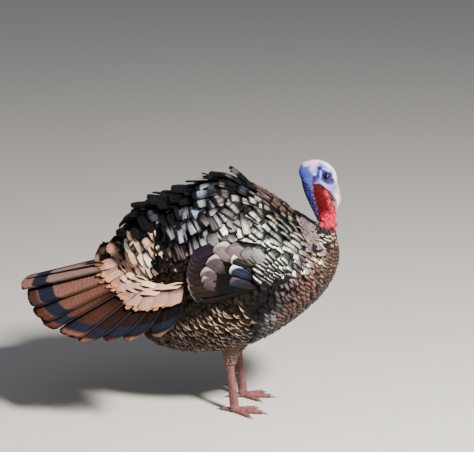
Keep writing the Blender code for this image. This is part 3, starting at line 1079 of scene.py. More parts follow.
@dataclass(frozen=True)
class SkinFinish:
    """Bare skin, coloured by what the mesh stores, with fine pores."""

    name: str = "skin"
    roughness: float = 0.44

    def build(self) -> bpy.types.Material:
        """Returns: the finished material."""
        g = Graph(self.name)
        fine, coarse = g.noise(1500.0, 3.0), g.noise(260.0, 2.0)
        g.shader_input("Base Color", g.attribute("tint").scaled(fine * 0.35 + coarse * 0.5 + 0.55))
        g.shader_input("Roughness", coarse * 0.2 + self.roughness - 0.1)
        g.shader_input("Specular IOR Level", 0.12)
        g.shader_input("Subsurface Weight", 0.05)
        g.shader_input("Subsurface Radius", (0.004, 0.0015, 0.001))
        g.shader_input("Subsurface Scale", 0.35)
        g.bump(fine * 0.5 + g.cells(900.0), 0.30, 0.0004)
        return g.material


@dataclass(frozen=True)
class HornFinish:
    """Horn of the bill, claws and spurs: one colour that darkens to another."""

    name: str
    pale: tuple[float, float, float]
    dark: tuple[float, float, float]
    roughness: float = 0.32

    def build(self) -> bpy.types.Material:
        """Returns: the finished material."""
        g = Graph(self.name)
        grain = g.noise(700.0, 3.0)
        share = g.attribute("tint").split()[0]
        colour = (share + grain * 0.4 - 0.2).step(0.0, 1.0).mix(self.dark, self.pale)
        g.shader_input("Base Color", colour)
        g.shader_input("Roughness", grain * 0.15 + self.roughness - 0.07)
        g.shader_input("Coat Weight", 0.15)
        g.bump(grain, 0.2, 0.0003)
        return g.material


@dataclass(frozen=True)
class EyeFinish:
    """A wet dark eye: black pupil, deep brown ring."""

    name: str = "eye"

    def build(self) -> bpy.types.Material:
        """Returns: the finished material."""
        g = Graph(self.name)
        off = g.attribute("tint").split()[0]
        ring = off.step(0.50, 0.58).mix((0.002, 0.0015, 0.002), (0.016, 0.007, 0.004))
        g.shader_input("Base Color", off.step(0.80, 0.95).mix(ring, (0.012, 0.008, 0.010)))
        g.shader_input("Roughness", 0.05)
        g.shader_input("Specular IOR Level", 0.15)
        g.shader_input("Coat Weight", 0.35)
        g.shader_input("Coat Roughness", 0.02)
        return g.material


@dataclass(frozen=True)
class FloorFinish:
    """A plain pale floor."""

    name: str = "floor"
    colour: tuple[float, float, float] = (0.62, 0.60, 0.57)

    def build(self) -> bpy.types.Material:
        """Returns: the finished material."""
        g = Graph(self.name)
        g.shader_input("Base Color", self.colour)
        g.shader_input("Roughness", 0.9)
        return g.material


# ------------------------------------------------------------------ colours of the plumage
BLACK = (0.006, 0.0055, 0.007)
DARK_BROWN = (0.030, 0.016, 0.011)
# Pale colours that are mostly painted sheen: the glare of glossy dark bronze feathers, with a little of
# their own tint.
GREEN_WHITE_SHEEN = (0.660, 0.700, 0.600)
OLIVE_WHITE_SHEEN = (0.560, 0.520, 0.400)
PALE_GREY_SHEEN = (0.440, 0.415, 0.420)
SILVER_SHEEN = (0.500, 0.540, 0.680)
CREAM = (0.960, 0.570, 0.385)
COPPER = (0.110, 0.045, 0.037)
ROSE_BROWN = (0.230, 0.128, 0.112)
GOLD_BEIGE = (0.360, 0.240, 0.150)
BUFF = (0.420, 0.285, 0.215)
LILAC = (0.235, 0.170, 0.185)
INDIGO = (0.009, 0.014, 0.040)
PURPLE_BROWN = (0.055, 0.034, 0.042)


def varied(colours: Array, rng: np.random.Generator, amount: float) -> Array:
    """Makes each feather a little brighter or darker, warmer or cooler.

    Args:
        colours: one for each feather.
        rng: the draws.
        amount: how much.

    Returns:
        the new colours.
    """
    value = np.exp(rng.normal(0.0, amount, len(colours)))[:, None]
    tilt = 1.0 + rng.normal(0.0, amount * 0.3, (len(colours), 1)) * np.array([1.0, 0.0, -1.0])
    return np.clip(colours * value * tilt, 0.002, 0.9)


def gleaming(colours: Array, rng: np.random.Generator, spread: Array | float) -> Array:
    """Makes some feathers catch the light and leaves others dull."""
    shift = np.clip(rng.normal(0.0, 1.0, len(colours)), -2.4, 0.9) * spread
    return np.clip(colours * np.exp(shift)[:, None], 0.0, 1.0)


def painted(base: Array, colour: Sequence[float], share: Array) -> Array:
    """Base colours with another laid over them."""
    return mixed(base, colour, np.clip(share, 0.0, 1.0))


def along(t: Array, knots: Sequence[float], values: Sequence[float]) -> Array:
    """Reads a number that changes along t."""
    return np.interp(t, knots, values)


@dataclass(frozen=True)
class Spacing:
    """How far apart feathers stand at knots along t, in metres."""

    knots: Sequence[float]
    gaps: Sequence[float]
    pitches: Sequence[float]

    def gap(self, t: Array, a: Array | None = None) -> Array:
        """From row to row; a plays no part."""
        return along(t, self.knots, self.gaps)

    def pitch(self, t: Array, a: Array | None = None) -> Array:
        """From feather to feather within a row; a plays no part."""
        return along(t, self.knots, self.pitches)


def steady(value: float) -> Callable[[Array, Array], Array]:
    """The same number everywhere, as a function of t and a."""
    return lambda t, a: np.full(np.shape(t), value)


def feather_traits(start: Array | float, gloss: Array | float, own: Array) -> Array:
    """What a finish reads of each feather: where its rim starts, its gloss, its own number."""
    return np.stack(np.broadcast_arrays(start, gloss, own), axis=-1)


@dataclass
class BodyPlumage:
    """The coat of the trunk and neck base, in three tracts that run into each other."""

    surface: Body = field(default_factory=Body)
    back_edge: float = 2.10
    flank_edge: float = 1.12
    neck_start: float = 10.9

    def lie_on_back(self, t: Array, a: Array) -> Array:
        """How far the back's feathers turn down from straight backwards."""
        steep = along(t, [0.0, 2.5, 5.0, 7.5, 10.5, 12.5], [1.0, 0.85, 0.35, 0.62, 0.62, 0.35])
        return steep * smoothstep(-0.05, 0.80, np.abs(a))

    def lie_below(self, t: Array, a: Array) -> Array:
        """How far the flank's feathers turn down from straight backwards."""
        return 0.55 * smoothstep(math.pi, 2.0, np.abs(a)) * along(t, [7.0, 10.0], [1.0, 0.6])

    def batch(
        self,
        t: Array,
        a: Array,
        lie: Callable[[Array, Array], Array],
        size: tuple[Array | float, Array | float],
        heights: tuple[Array | float, Array | float],
        seed: int,
        loose: Array | float = 1.0,
    ) -> Vanes:
        """Feathers at places on both sides, still without their colours.

        Args:
            t, a: roots on the right side.
            lie: the tract's lie.
            size: lengths and widths.
            heights: how deep the roots lie and how high the tips stand.
            seed: the tract's own number.
            loose: how untidily they lie.

        Returns:
            The batch, black all over.
        """
        rng = np.random.default_rng(SEED + 40 + seed)
        length, width, sink, rise, turn, loose = (
            np.tile(np.broadcast_to(v, t.shape), 2) for v in (*size, *heights, lie(t, a), loose)
        )
        t, a, side = both_sides(t, a)
        count = len(t)
        jitter = rng.normal(0.0, math.radians(6.5), count) * loose
        return Vanes(
            t=t,
            a=a,
            length=length * rng.uniform(0.92, 1.10, count),
            width=width * rng.uniform(0.78, 1.16, count),
            turn=turn * side + jitter,
            roll=rng.normal(0.0, math.radians(6.0), count) * loose,
            sink=sink,
            rise=(rise * rng.uniform(-0.6, 0.6, count) + rng.uniform(0.0, 0.0008, count)) * loose
            + rise,
            curl=0.0,
            ground=BLACK,
            rim=BLACK,
            traits=feather_traits(0.9, 0.0, rng.random(count)),
        )

    def tips(self, vanes: Vanes) -> tuple[Array, Array, Array, Array]:
        """Where each feather ends.

        Args:
            vanes: the feathers.

        Returns:
            t, how far round, and x and z of the place.
        """
        _, by_t, by_a, _ = self.surface.frame(vanes.t, vanes.a)
        t = vanes.t - np.cos(vanes.turn) * vanes.length / np.linalg.norm(by_t, axis=1)
        a = vanes.a + np.sin(vanes.turn) * vanes.length / np.linalg.norm(by_a, axis=1)
        place = self.surface.point(t, a)
        return t, np.abs(a), place[:, 0] - FEET_X, place[:, 2]

    def cloud(self, vanes: Vanes, scale: float, depth: float) -> Array:
        """Slow changes of brightness over the coat. Returns: a factor for each feather."""
        place = self.surface.point(vanes.t, vanes.a)
        return np.exp(depth * speckle(place, scale, 8))[:, None]

    def back(self) -> Vanes:
        """Mantle, back and rump. Returns: the feathers."""
        apart = Spacing(
            knots=(-1.0, 1.5, 3.5, 5.5, 7.0, 8.5, 10.5, 12.0),
            gaps=(0.0165, 0.0165, 0.0170, 0.0215, 0.0205, 0.0185, 0.0150, 0.0100),
            pitches=(0.0530, 0.0530, 0.0400, 0.0350, 0.0330, 0.0150, 0.0120, 0.0100),
        )
        lattice = Lattice(
            self.surface, 0.0, self.back_edge, apart.gap, apart.pitch, self.lie_on_back
        )
        t, a = lattice.roots(-5.0, 12.0, 1)
        edge = along(t, [1.8, 3.0, 4.0, 9.0, 12.0], [2.10, 1.75, 1.25, 1.20, 1.35])
        keep = (t > -2.1) & (a < edge) & (t < 12.6)
        keep = keep & ((t < 7.2) | (a < along(t, [7.0, 8.5, 12.0], [0.60, 0.36, 0.24])))
        t, a = t[keep], a[keep]
        step = apart.gap(t)
        raised = smoothstep(8.0, 5.5, t) * (0.55 + 0.45 * smoothstep(1.3, 0.4, a))
        crest = smoothstep(0.55, 0.20, a) * smoothstep(0.5, 1.6, t) * smoothstep(7.5, 6.0, t)
        size = (step * 3.3 + 0.004 + 0.022 * crest, apart.pitch(t) * 1.42)
        hung = smoothstep(2.0, 2.4, t) * smoothstep(7.2, 6.8, t) * smoothstep(0.26, 0.36, a)
        heights = (0.006 + 0.010 * raised, 0.0010 + 0.0050 * raised * (1 - hung) + 0.0110 * crest)
        loose = 0.25 + 0.75 * smoothstep(0.8, 2.8, t)
        vanes = self.batch(t, a, self.lie_on_back, size, heights, 1, loose)
        self.colour_back(vanes)
        return vanes

    def lie_of_drape(self, t: Array, a: Array) -> Array:
        """How far the hanging feathers turn from straight backwards: a little past down."""
        return along(t, [2.0, 3.0, 5.0, 6.5], [1.75, 1.98, 1.92, 1.72])

    def drape(self) -> Vanes:
        """The loose feathers that hang down between ridge and wing. Returns: them."""
        rng = np.random.default_rng(SEED + 46)
        rows = []
        for number, a in enumerate(np.arange(0.34, 1.32, 0.290)):
            across = np.arange(2.56, 7.0, 0.46) + 0.23 * (number % 2)
            rows.append(np.stack([across, np.full(len(across), a)], axis=-1))
        t, a = np.concatenate(rows).T
        t, a = t + rng.normal(0.0, 0.06, len(t)), a + rng.normal(0.0, 0.018, len(a))
        low = along(t, [2.6, 3.2, 4.0, 7.0], [0.70, 1.20, 1.12, 0.98])
        keep = (a < low) & (a > along(t, [2.0, 3.5, 7.0], [0.52, 0.34, 0.45]))
        t, a = t[keep], a[keep]
        vanes = self.batch(t, a, self.lie_of_drape, (0.068, 0.0240), (0.006, 0.0075), 6, 1.2)
        _, _, x, z = self.tips(vanes)
        # Painted sheen: the pale silver-blue runs stand for glare on glossy black feathers.
        ground = palette(
            (-0.146, BLACK), (-0.134, (0.62, 0.66, 0.78)), (-0.09, (0.78, 0.82, 0.95)),
            (-0.065, (0.66, 0.67, 0.72)), (-0.045, (0.48, 0.455, 0.46)), (-0.01, (0.42, 0.40, 0.405)),
            (0.03, (0.56, 0.56, 0.50)),
        )(x)
        lilac = bump(x, -0.106, 0.014) * bump(z, 0.385, 0.022)
        ground = painted(ground, LILAC, np.clip(1.8 * lilac, 0, 1))
        # Painted shade: black in the recess above the wing.
        hollow_shade = bump(x, -0.018, 0.024) * bump(z, 0.424, 0.014)
        ground = painted(ground, BLACK, np.clip(1.4 * hollow_shade, 0, 1))
        vanes.ground = gleaming(varied(ground, rng, 0.12), rng, 0.55)
        vanes.traits[:, 0] = 0.950
        vanes.traits[:, 1] = along(x, [-0.075, -0.045, 0.02], [0.50, 0.25, 0.22])
        return vanes

    def mantle(self) -> Vanes:
        """The short broad feathers over shoulder and wing base. Returns: them."""
        turn, stride = 1.00, 0.66  # radians, and steps of t from row to row

        def gap(t: Array, a: Array) -> Array:
            """From row to row, in metres."""
            return stride * np.linalg.norm(self.surface.frame(t, a)[1], axis=1)

        def pitch(t: Array, a: Array) -> Array:
            """From feather to feather within a row, in metres."""
            return along(t, [6.0, 8.0, 10.5, 12.0], [0.0380, 0.0340, 0.0260, 0.0160])

        lattice = Lattice(self.surface, 0.12, 1.50, gap, pitch, steady(turn))
        t, a = lattice.roots(-1.0, 12.5, 5)
        rng = np.random.default_rng(SEED + 45)
        border = 6.9 - 0.5 * a + rng.normal(0.0, 0.15, len(t))
        edge = along(t, [5.0, 9.0, 12.0], [1.25, 1.22, 1.38])
        above = along(t, [7.0, 8.5, 12.0], [0.42, 0.26, 0.16])
        keep = (t > border) & (t < 12.9) & (a > above) & (a < edge)
        t, a = t[keep], a[keep]
        size = (gap(t, a) * math.cos(turn) * 3.3 + 0.004, pitch(t, a) * 1.42)
        heights = (0.006, 0.0014 + 0.0020 * smoothstep(9.0, 7.0, t))
        vanes = self.batch(t, a, steady(turn), size, heights, 5, 0.8)
        self.colour_back(vanes)
        return vanes

    def colour_back(self, vanes: Vanes) -> None:
        """Bronze in front, silver on the rump and cream over the tail, all tipped black; the silver,
        grey and white are painted sheen, and the low back, the recess above the wing and the gap before
        the rump carry painted shade.

        Args:
            vanes: the feathers; they change.
        """
        rng = np.random.default_rng(SEED + 61)
        _, down, x, z = self.tips(vanes)
        rump = x + 0.26 * (z - 0.42) - 0.045 * smoothstep(0.390, 0.366, z)
        # Along the side from behind: cream tips, black feathers that also stand for painted shadow in
        # the gap under the back, then painted sheen in silver, grey, green-white and olive-white, then
        # lilac.
        side = palette(
            (-0.335, (0.34, 0.19, 0.14)), (-0.300, CREAM), (-0.180, CREAM), (-0.173, BLACK),
            (-0.141, BLACK), (-0.132, SILVER_SHEEN), (-0.055, SILVER_SHEEN),
            (-0.035, PALE_GREY_SHEEN), (0.030, PALE_GREY_SHEEN), (0.045, GREEN_WHITE_SHEEN), (0.120, GREEN_WHITE_SHEEN),
            (0.138, OLIVE_WHITE_SHEEN), (0.156, LILAC),
        )(rump)
        dusky = (0.190, 0.115, 0.106)
        ridge = palette(
            (-0.25, BLACK), (-0.030, (0.010, 0.010, 0.015)), (0.005, (0.018, 0.016, 0.030)),
            (0.022, dusky), (0.080, dusky), (0.105, OLIVE_WHITE_SHEEN), (0.135, ROSE_BROWN),
        )(x)
        shift = 0.07 * rng.normal(0.0, 1.0, len(vanes)) * smoothstep(-0.20, -0.14, x)
        line = along(
            x, [-0.24, -0.185, -0.145, -0.110, -0.05, 0.00, 0.035, 0.07, 0.12],
            [0.85, 0.66, 0.60, 0.32, 0.26, 0.36, 0.27, 0.25, 0.30],
        )
        share = smoothstep(-0.07, 0.07, down + shift - line)
        share = share * np.maximum(smoothstep(0.62, 0.74, down), smoothstep(-0.15, -0.14, x))
        side = side * (1.0 - 0.20 * smoothstep(0.95, 0.45, down) * smoothstep(0.02, 0.05, x))[:, None]
        side = side * (1.0 - 0.10 * smoothstep(0.03, 0.05, x))[:, None]
        side = side * (1.0 - 0.25 * smoothstep(0.50, 0.30, down) * smoothstep(0.02, 0.0, x))[:, None]
        glint = (rng.random(len(vanes)) < 0.40) & (down > 0.16) & (x < 0.0)
        ridge[glint] = (0.075, 0.072, 0.105)
        ground = mixed(ridge, side, share)
        lilac = bump(x, -0.106, 0.017) * bump(z, 0.402, 0.030)
        ground = painted(ground, LILAC, np.clip(1.6 * lilac, 0, 1))
        # Painted shade: black in the recess between back and wing.
        hollow_shade = smoothstep(0.425, 0.408, z) * smoothstep(-0.096, -0.088, x) * smoothstep(0.0, -0.03, x)
        ground = painted(ground, BLACK, hollow_shade)
        shaded = smoothstep(0.350, 0.325, z) * smoothstep(-0.15, -0.12, x)
        ground = painted(ground, DARK_BROWN, shaded)
        spread = along(x, [-0.17, -0.15, 0.04, 0.12], [0.20, 0.55, 0.50, 0.35])
        ground = np.clip(ground * self.cloud(vanes, 26.0, 0.45), 0.0, 0.9)
        vanes.ground = gleaming(varied(ground, rng, 0.16), rng, spread)
        rim = painted(BLACK, LILAC, smoothstep(0.118, 0.136, x) * 0.8)
        rim = painted(rim, (0.105, 0.064, 0.058), (1 - share) * smoothstep(0.010, 0.030, x) * 0.8)
        vanes.rim = varied(rim, rng, 0.1)
        vanes.traits[:, 0] = along(
            x, [-0.19, -0.15, -0.06, -0.03, 0.03, 0.05, 0.12, 0.14],
            [0.940, 0.87, 0.87, 0.900, 0.905, 0.900, 0.905, 0.96],
        )
        vanes.traits[:, 1] = along(x, [-0.18, -0.14, 0.06, 0.13], [0.10, 0.45, 0.45, 0.30])
        vanes.traits[glint, 1] = 0.50

    def raised(self) -> Vanes:
        """Long single feathers that stand up from the ridge. Returns: them."""
        black, grey = (0.012, 0.011, 0.015), (0.125, 0.112, 0.110)
        rows = []
        for t, a, length, width, rise, curl, colour in (
            (7.15, 0.10, 0.070, 0.020, 0.015, 0.006, grey),
            (6.70, 0.30, 0.050, 0.022, 0.010, 0.003, grey),
            (6.20, 0.08, 0.060, 0.020, 0.013, 0.006, black),
            (5.65, 0.06, 0.052, 0.008, 0.016, 0.008, black),
            (5.30, 0.16, 0.060, 0.022, 0.009, 0.005, black),
            (4.75, 0.10, 0.058, 0.022, 0.007, 0.004, grey),
            (4.25, 0.14, 0.056, 0.024, 0.008, 0.006, black),
            (3.60, 0.12, 0.056, 0.024, 0.007, 0.006, black),
            (3.05, 0.24, 0.054, 0.022, 0.008, 0.006, black),
            (2.55, 0.30, 0.054, 0.024, 0.008, 0.007, black),
            (2.05, 0.50, 0.050, 0.022, 0.007, 0.006, black),
            (1.30, 0.62, 0.046, 0.020, 0.006, 0.005, black),
        ):
            for side in (-1, 1):
                rows.append(
                    dict(t=t - 0.12 * (side > 0), a=side * a, length=length, width=width, rise=rise,
                         curl=curl, turn=side * 0.12, roll=-side * 0.2, sink=0.004, ground=colour,
                         rim=BLACK, start=0.90, gloss=0.35)
                )
        return single(rows, 64)

    def below(self) -> Vanes:
        """Breast, flanks and belly. Returns: the feathers."""
        apart = Spacing(
            knots=(-1.0, 2.0, 5.0, 8.0, 10.5, 12.0),
            gaps=(0.0130, 0.0125, 0.0120, 0.0088, 0.0080, 0.0075),
            pitches=(0.0150, 0.0140, 0.0145, 0.0220, 0.0210, 0.0150),
        )
        lattice = Lattice(
            self.surface, math.pi, self.flank_edge, apart.gap, apart.pitch, self.lie_below
        )
        t, a = lattice.roots(-1.0, 16.5, 2)
        keep = (t > -0.4) & (t < 12.4) & (a > along(t, [1.6, 3.0, 3.6], [1.95, 1.62, 1.12]))
        t, a = t[keep], a[keep]
        step = apart.gap(t)
        size = (step * 3.4 + 0.004, apart.pitch(t) * 1.75)
        loose = smoothstep(8.5, 5.5, t)
        heights = (0.006 + 0.004 * loose, 0.0012 + 0.0020 * loose)
        vanes = self.batch(t, a, self.lie_below, size, heights, 2)
        self.colour_below(vanes)
        return vanes

    def colour_below(self, vanes: Vanes) -> None:
        """Copper breast, dark flank with buff crescents, and the painted shade between them and under
        the belly.

        Args:
            vanes: the feathers; they change.
        """
        rng = np.random.default_rng(SEED + 62)
        _, down, x, z = self.tips(vanes)
        count = len(vanes)
        leaf = rng.normal(0.0, 0.006, count)
        slant = x - 0.085 - 0.47 * (z - 0.24) + leaf * 0.5
        ashen = (0.150, 0.140, 0.155)
        # Dark olive brown and black under the wing: the flank's own dark colour, darkened further as
        # painted shade under the wing.
        ground = palette(
            (-0.070, (0.0075, 0.0048, 0.0024)), (-0.055, BLACK), (-0.020, BLACK),
            (-0.013, ashen), (0.003, ashen),
            (0.010, (0.15, 0.088, 0.084)), (0.040, (0.145, 0.072, 0.064)),
            (0.060, COPPER), (0.085, COPPER), (0.110, (0.065, 0.030, 0.018)),
        )(slant)
        rim = palette((-0.075, (0.006, 0.0036, 0.002)), (-0.055, BLACK), (0.2, BLACK))(slant)
        limit = along(x, [-0.20, -0.07, 0.06], [0.180, 0.258, 0.292])
        spotted = smoothstep(0.006, -0.014, z + leaf - limit)
        spotted = spotted * smoothstep(0.048, 0.028, x + leaf)
        spotted = spotted * (0.45 + 0.55 * smoothstep(-0.17, -0.07, x))
        rim = painted(rim, BUFF, spotted)
        throat = smoothstep(0.330, 0.350, z + leaf) * smoothstep(0.15, 0.17, x)
        ground = painted(ground, GOLD_BEIGE, throat)
        streak = smoothstep(0.011, 0.006, np.abs(slant + 0.010)) * smoothstep(2.4, 2.1, down)
        streak = streak * smoothstep(0.268, 0.256, z) * smoothstep(0.22, 0.235, z)
        rim = painted(rim, (0.34, 0.31, 0.30), streak)
        under = smoothstep(0.010, -0.004, z - (0.262 + 0.85 * (x - 0.160)))
        lower = palette((0.004, BLACK), (0.014, (0.058, 0.030, 0.021)))(slant)
        ground = mixed(ground, lower, under * smoothstep(0.05, 0.07, x))
        ground = np.clip(ground * self.cloud(vanes, 30.0, 0.5), 0.0, 0.9)
        # Painted shade: the lowest feathers under the belly are darker.
        belly = (1.0 - 0.60 * smoothstep(0.225, 0.190, z))[:, None]
        vanes.ground = gleaming(varied(ground * belly, rng, 0.16), rng, 0.50)
        vanes.rim = gleaming(varied(rim * belly, rng, 0.2), rng, 0.45)
        vanes.traits[:, 0] = along(x, [0.02, 0.06, 0.10, 0.18], [0.920, 0.88, 0.88, 0.90])
        vanes.traits[:, 1] = along(x, [0.0, 0.06, 0.10], [0.05, 0.35, 0.45])

    def neck(self) -> Vanes:
        """The small feathers from the breast's top to the bare neck. Returns: them."""
        apart = Spacing(
            knots=(10.5, 12.5, 14.0, 15.2),
            gaps=(0.0085, 0.0078, 0.0075, 0.0060),
            pitches=(0.0100, 0.0095, 0.0095, 0.0080),
        )
        lattice = Lattice(self.surface, math.pi, 0.0, apart.gap, apart.pitch, steady(0.0))
        t, a = lattice.roots(self.neck_start, 15.15, 3)
        keep = t > self.neck_start + 1.0 * smoothstep(1.9, 1.4, a)
        t, a = t[keep], a[keep]
        step = apart.gap(t)
        size = (step * 3.0 + 0.003, apart.pitch(t) * 1.8)
        vanes = self.batch(t, a, steady(0.0), size, (0.0045, 0.0006), 3, 0.35)
        rng = np.random.default_rng(SEED + 63)
        _, _, x, z = self.tips(vanes)
        leaf = rng.normal(0.0, 0.003, len(vanes))
        front = smoothstep(-0.004, 0.004, x + leaf - 0.1790 - 0.10 * np.maximum(0.40 - z, 0.0))
        pale, silky = (0.29, 0.235, 0.20), (0.155, 0.126, 0.145)
        sides = palette((0.10, silky), (0.143, silky), (0.156, pale), (0.190, pale))(x + leaf)
        low = smoothstep(0.430, 0.404, z + leaf)
        sides = painted(sides, (0.160, 0.108, 0.108), low)
        sides = painted(sides, ROSE_BROWN, smoothstep(0.365, 0.345, z + leaf))
        dusk = (0.150, 0.098, 0.082)
        throat = palette((0.30, COPPER), (0.335, dusk), (0.378, dusk), (0.386, BLACK))(z + leaf)
        throat = painted(throat, (0.085, 0.045, 0.026), smoothstep(0.200, 0.215, x))
        ground = varied(mixed(sides, throat, front), rng, 0.06)
        # Painted shadow: a black patch on the side of the neck, in ground and rim.
        hollow_shade = bump(x + leaf, 0.1775, 0.0070) * bump(z, 0.394, 0.015)
        ground = painted(ground, BLACK, np.clip(1.6 * hollow_shade, 0, 1))
        vanes.ground = gleaming(ground, rng, 0.12 + 0.15 * front)
        cream = (0.52, 0.48, 0.39)
        fringe = palette((0.380, BLACK), (0.388, cream), (0.416, cream), (0.424, BLACK))(z + leaf)
        vanes.rim = varied(mixed(sides * 0.90, fringe, front), rng, 0.1)
        bare = (rng.random(len(vanes)) < 0.52) & (z > 0.380) & (front > 0.5) | (hollow_shade > 0.35)
        vanes.rim[bare] = BLACK
        vanes.traits[:, 0] = along(z, [0.375, 0.392], [0.90, 0.85])
        vanes.traits[:, 1] = 0.25
        return vanes

    def build(self) -> list[bpy.types.Object]:
        """Meshes all tracts. Returns: the pieces."""
        on = self.surface
        glossy = FeatherFinish(
            "back_vane", roughness=0.36, barbs=30.0, rachis=0.0, root=(0.63, 0.78), wrap=0.05,
            streaks=0.72, lines=6.0, sheen=0.12, shadow=0.60,
        )
        lined = FeatherFinish(
            "rear_vane", roughness=0.36, barbs=30.0, rachis=0.0, root=(0.64, 0.76), wrap=0.05,
            streaks=0.97, dull=0.50, lines=4.5, sheen=0.12,
        )
        satin = FeatherFinish(
            "breast_vane", roughness=0.40, barbs=26.0, rachis=0.1, root=(0.60, 0.80), sheen=0.12
        )
        silk = FeatherFinish("neck_vane", roughness=0.42, barbs=22.0, rachis=0.1, root=(0.30, 0.60))
        soft = FeatherFinish(
            "flank_vane", roughness=0.52, barbs=26.0, rachis=0.1, wrap=0.10, sheen=0.10, streaks=0.15
        )
        broad = VaneShape(columns=7, stations=10, tip_share=0.42, tip_power=3.4, tip_stations=6)
        plain = VaneShape(columns=5, stations=7)
        rounder = VaneShape(columns=9, stations=12, tip_share=0.75, tip_power=2.7, tip_stations=6)
        hung = FeatherFinish(
            "drape_vane", roughness=0.34, barbs=40.0, rachis=0.0, root=(0.30, 0.80), wrap=0.03,
            streaks=0.97, dull=0.50, lines=4.0, sheen=0.12, margin=0.60, shadow=0.50,
        )
        back, below, neck = join([self.back(), self.mantle()]), self.below(), self.neck()
        front = back.t > 6.0
        breast = below.t > 7.6
        gloss, sheen, dull = glossy.build(), satin.build(), soft.build()
        return [
            Coat("mantle_feathers", broad, "copper_feather").build(on, back.part(front), gloss),
            Coat("back_feathers", broad, "black_feather").build(
                on, join([back.part(~front), self.raised()]), lined.build()
            ),
            Coat("drape_feathers", rounder, "black_feather").build(on, self.drape(), hung.build()),
            Coat("breast_feathers", plain, "copper_feather").build(on, below.part(breast), sheen),
            Coat("flank_feathers", plain, "flank_feather").build(on, below.part(~breast), dull),
            Coat("neck_feathers", plain, "black_feather").build(on, neck, silk.build()),
        ]


def single(rows: Sequence[dict], seed: int) -> Vanes:
    """Feathers given one by one, with the usual small differences.

    Args:
        rows: what is special about each feather, by the names that Vanes has.
        seed: the group's own number.

    Returns:
        The batch.
    """
    rng = np.random.default_rng(SEED + seed)
    count = len(rows)

    def column(name: str, usual: float) -> Array:
        """One quantity of every feather."""
        return np.array([row.get(name, usual) for row in rows], float)

    return Vanes(
        t=column("t", 0.0),
        a=column("a", 0.0),
        length=column("length", 0.05),
        width=column("width", 0.03),
        turn=column("turn", 0.0) + rng.normal(0.0, 0.03, count),
        roll=column("roll", 0.0) + rng.normal(0.0, 0.05, count),
        sink=column("sink", 0.005),
        rise=column("rise", 0.002),
        curl=column("curl", 0.0),
        ground=varied(np.array([row["ground"] for row in rows]), rng, 0.08),
        rim=np.array([row["rim"] for row in rows]),
        traits=feather_traits(column("start", 0.95), column("gloss", 0.4), rng.random(count)),
    )


@dataclass
class OneSide:
    """What is built once on each side."""

    side: Side

    @property
    def sign(self) -> int:
        """The sign of Y on this side."""
        return self.side.value


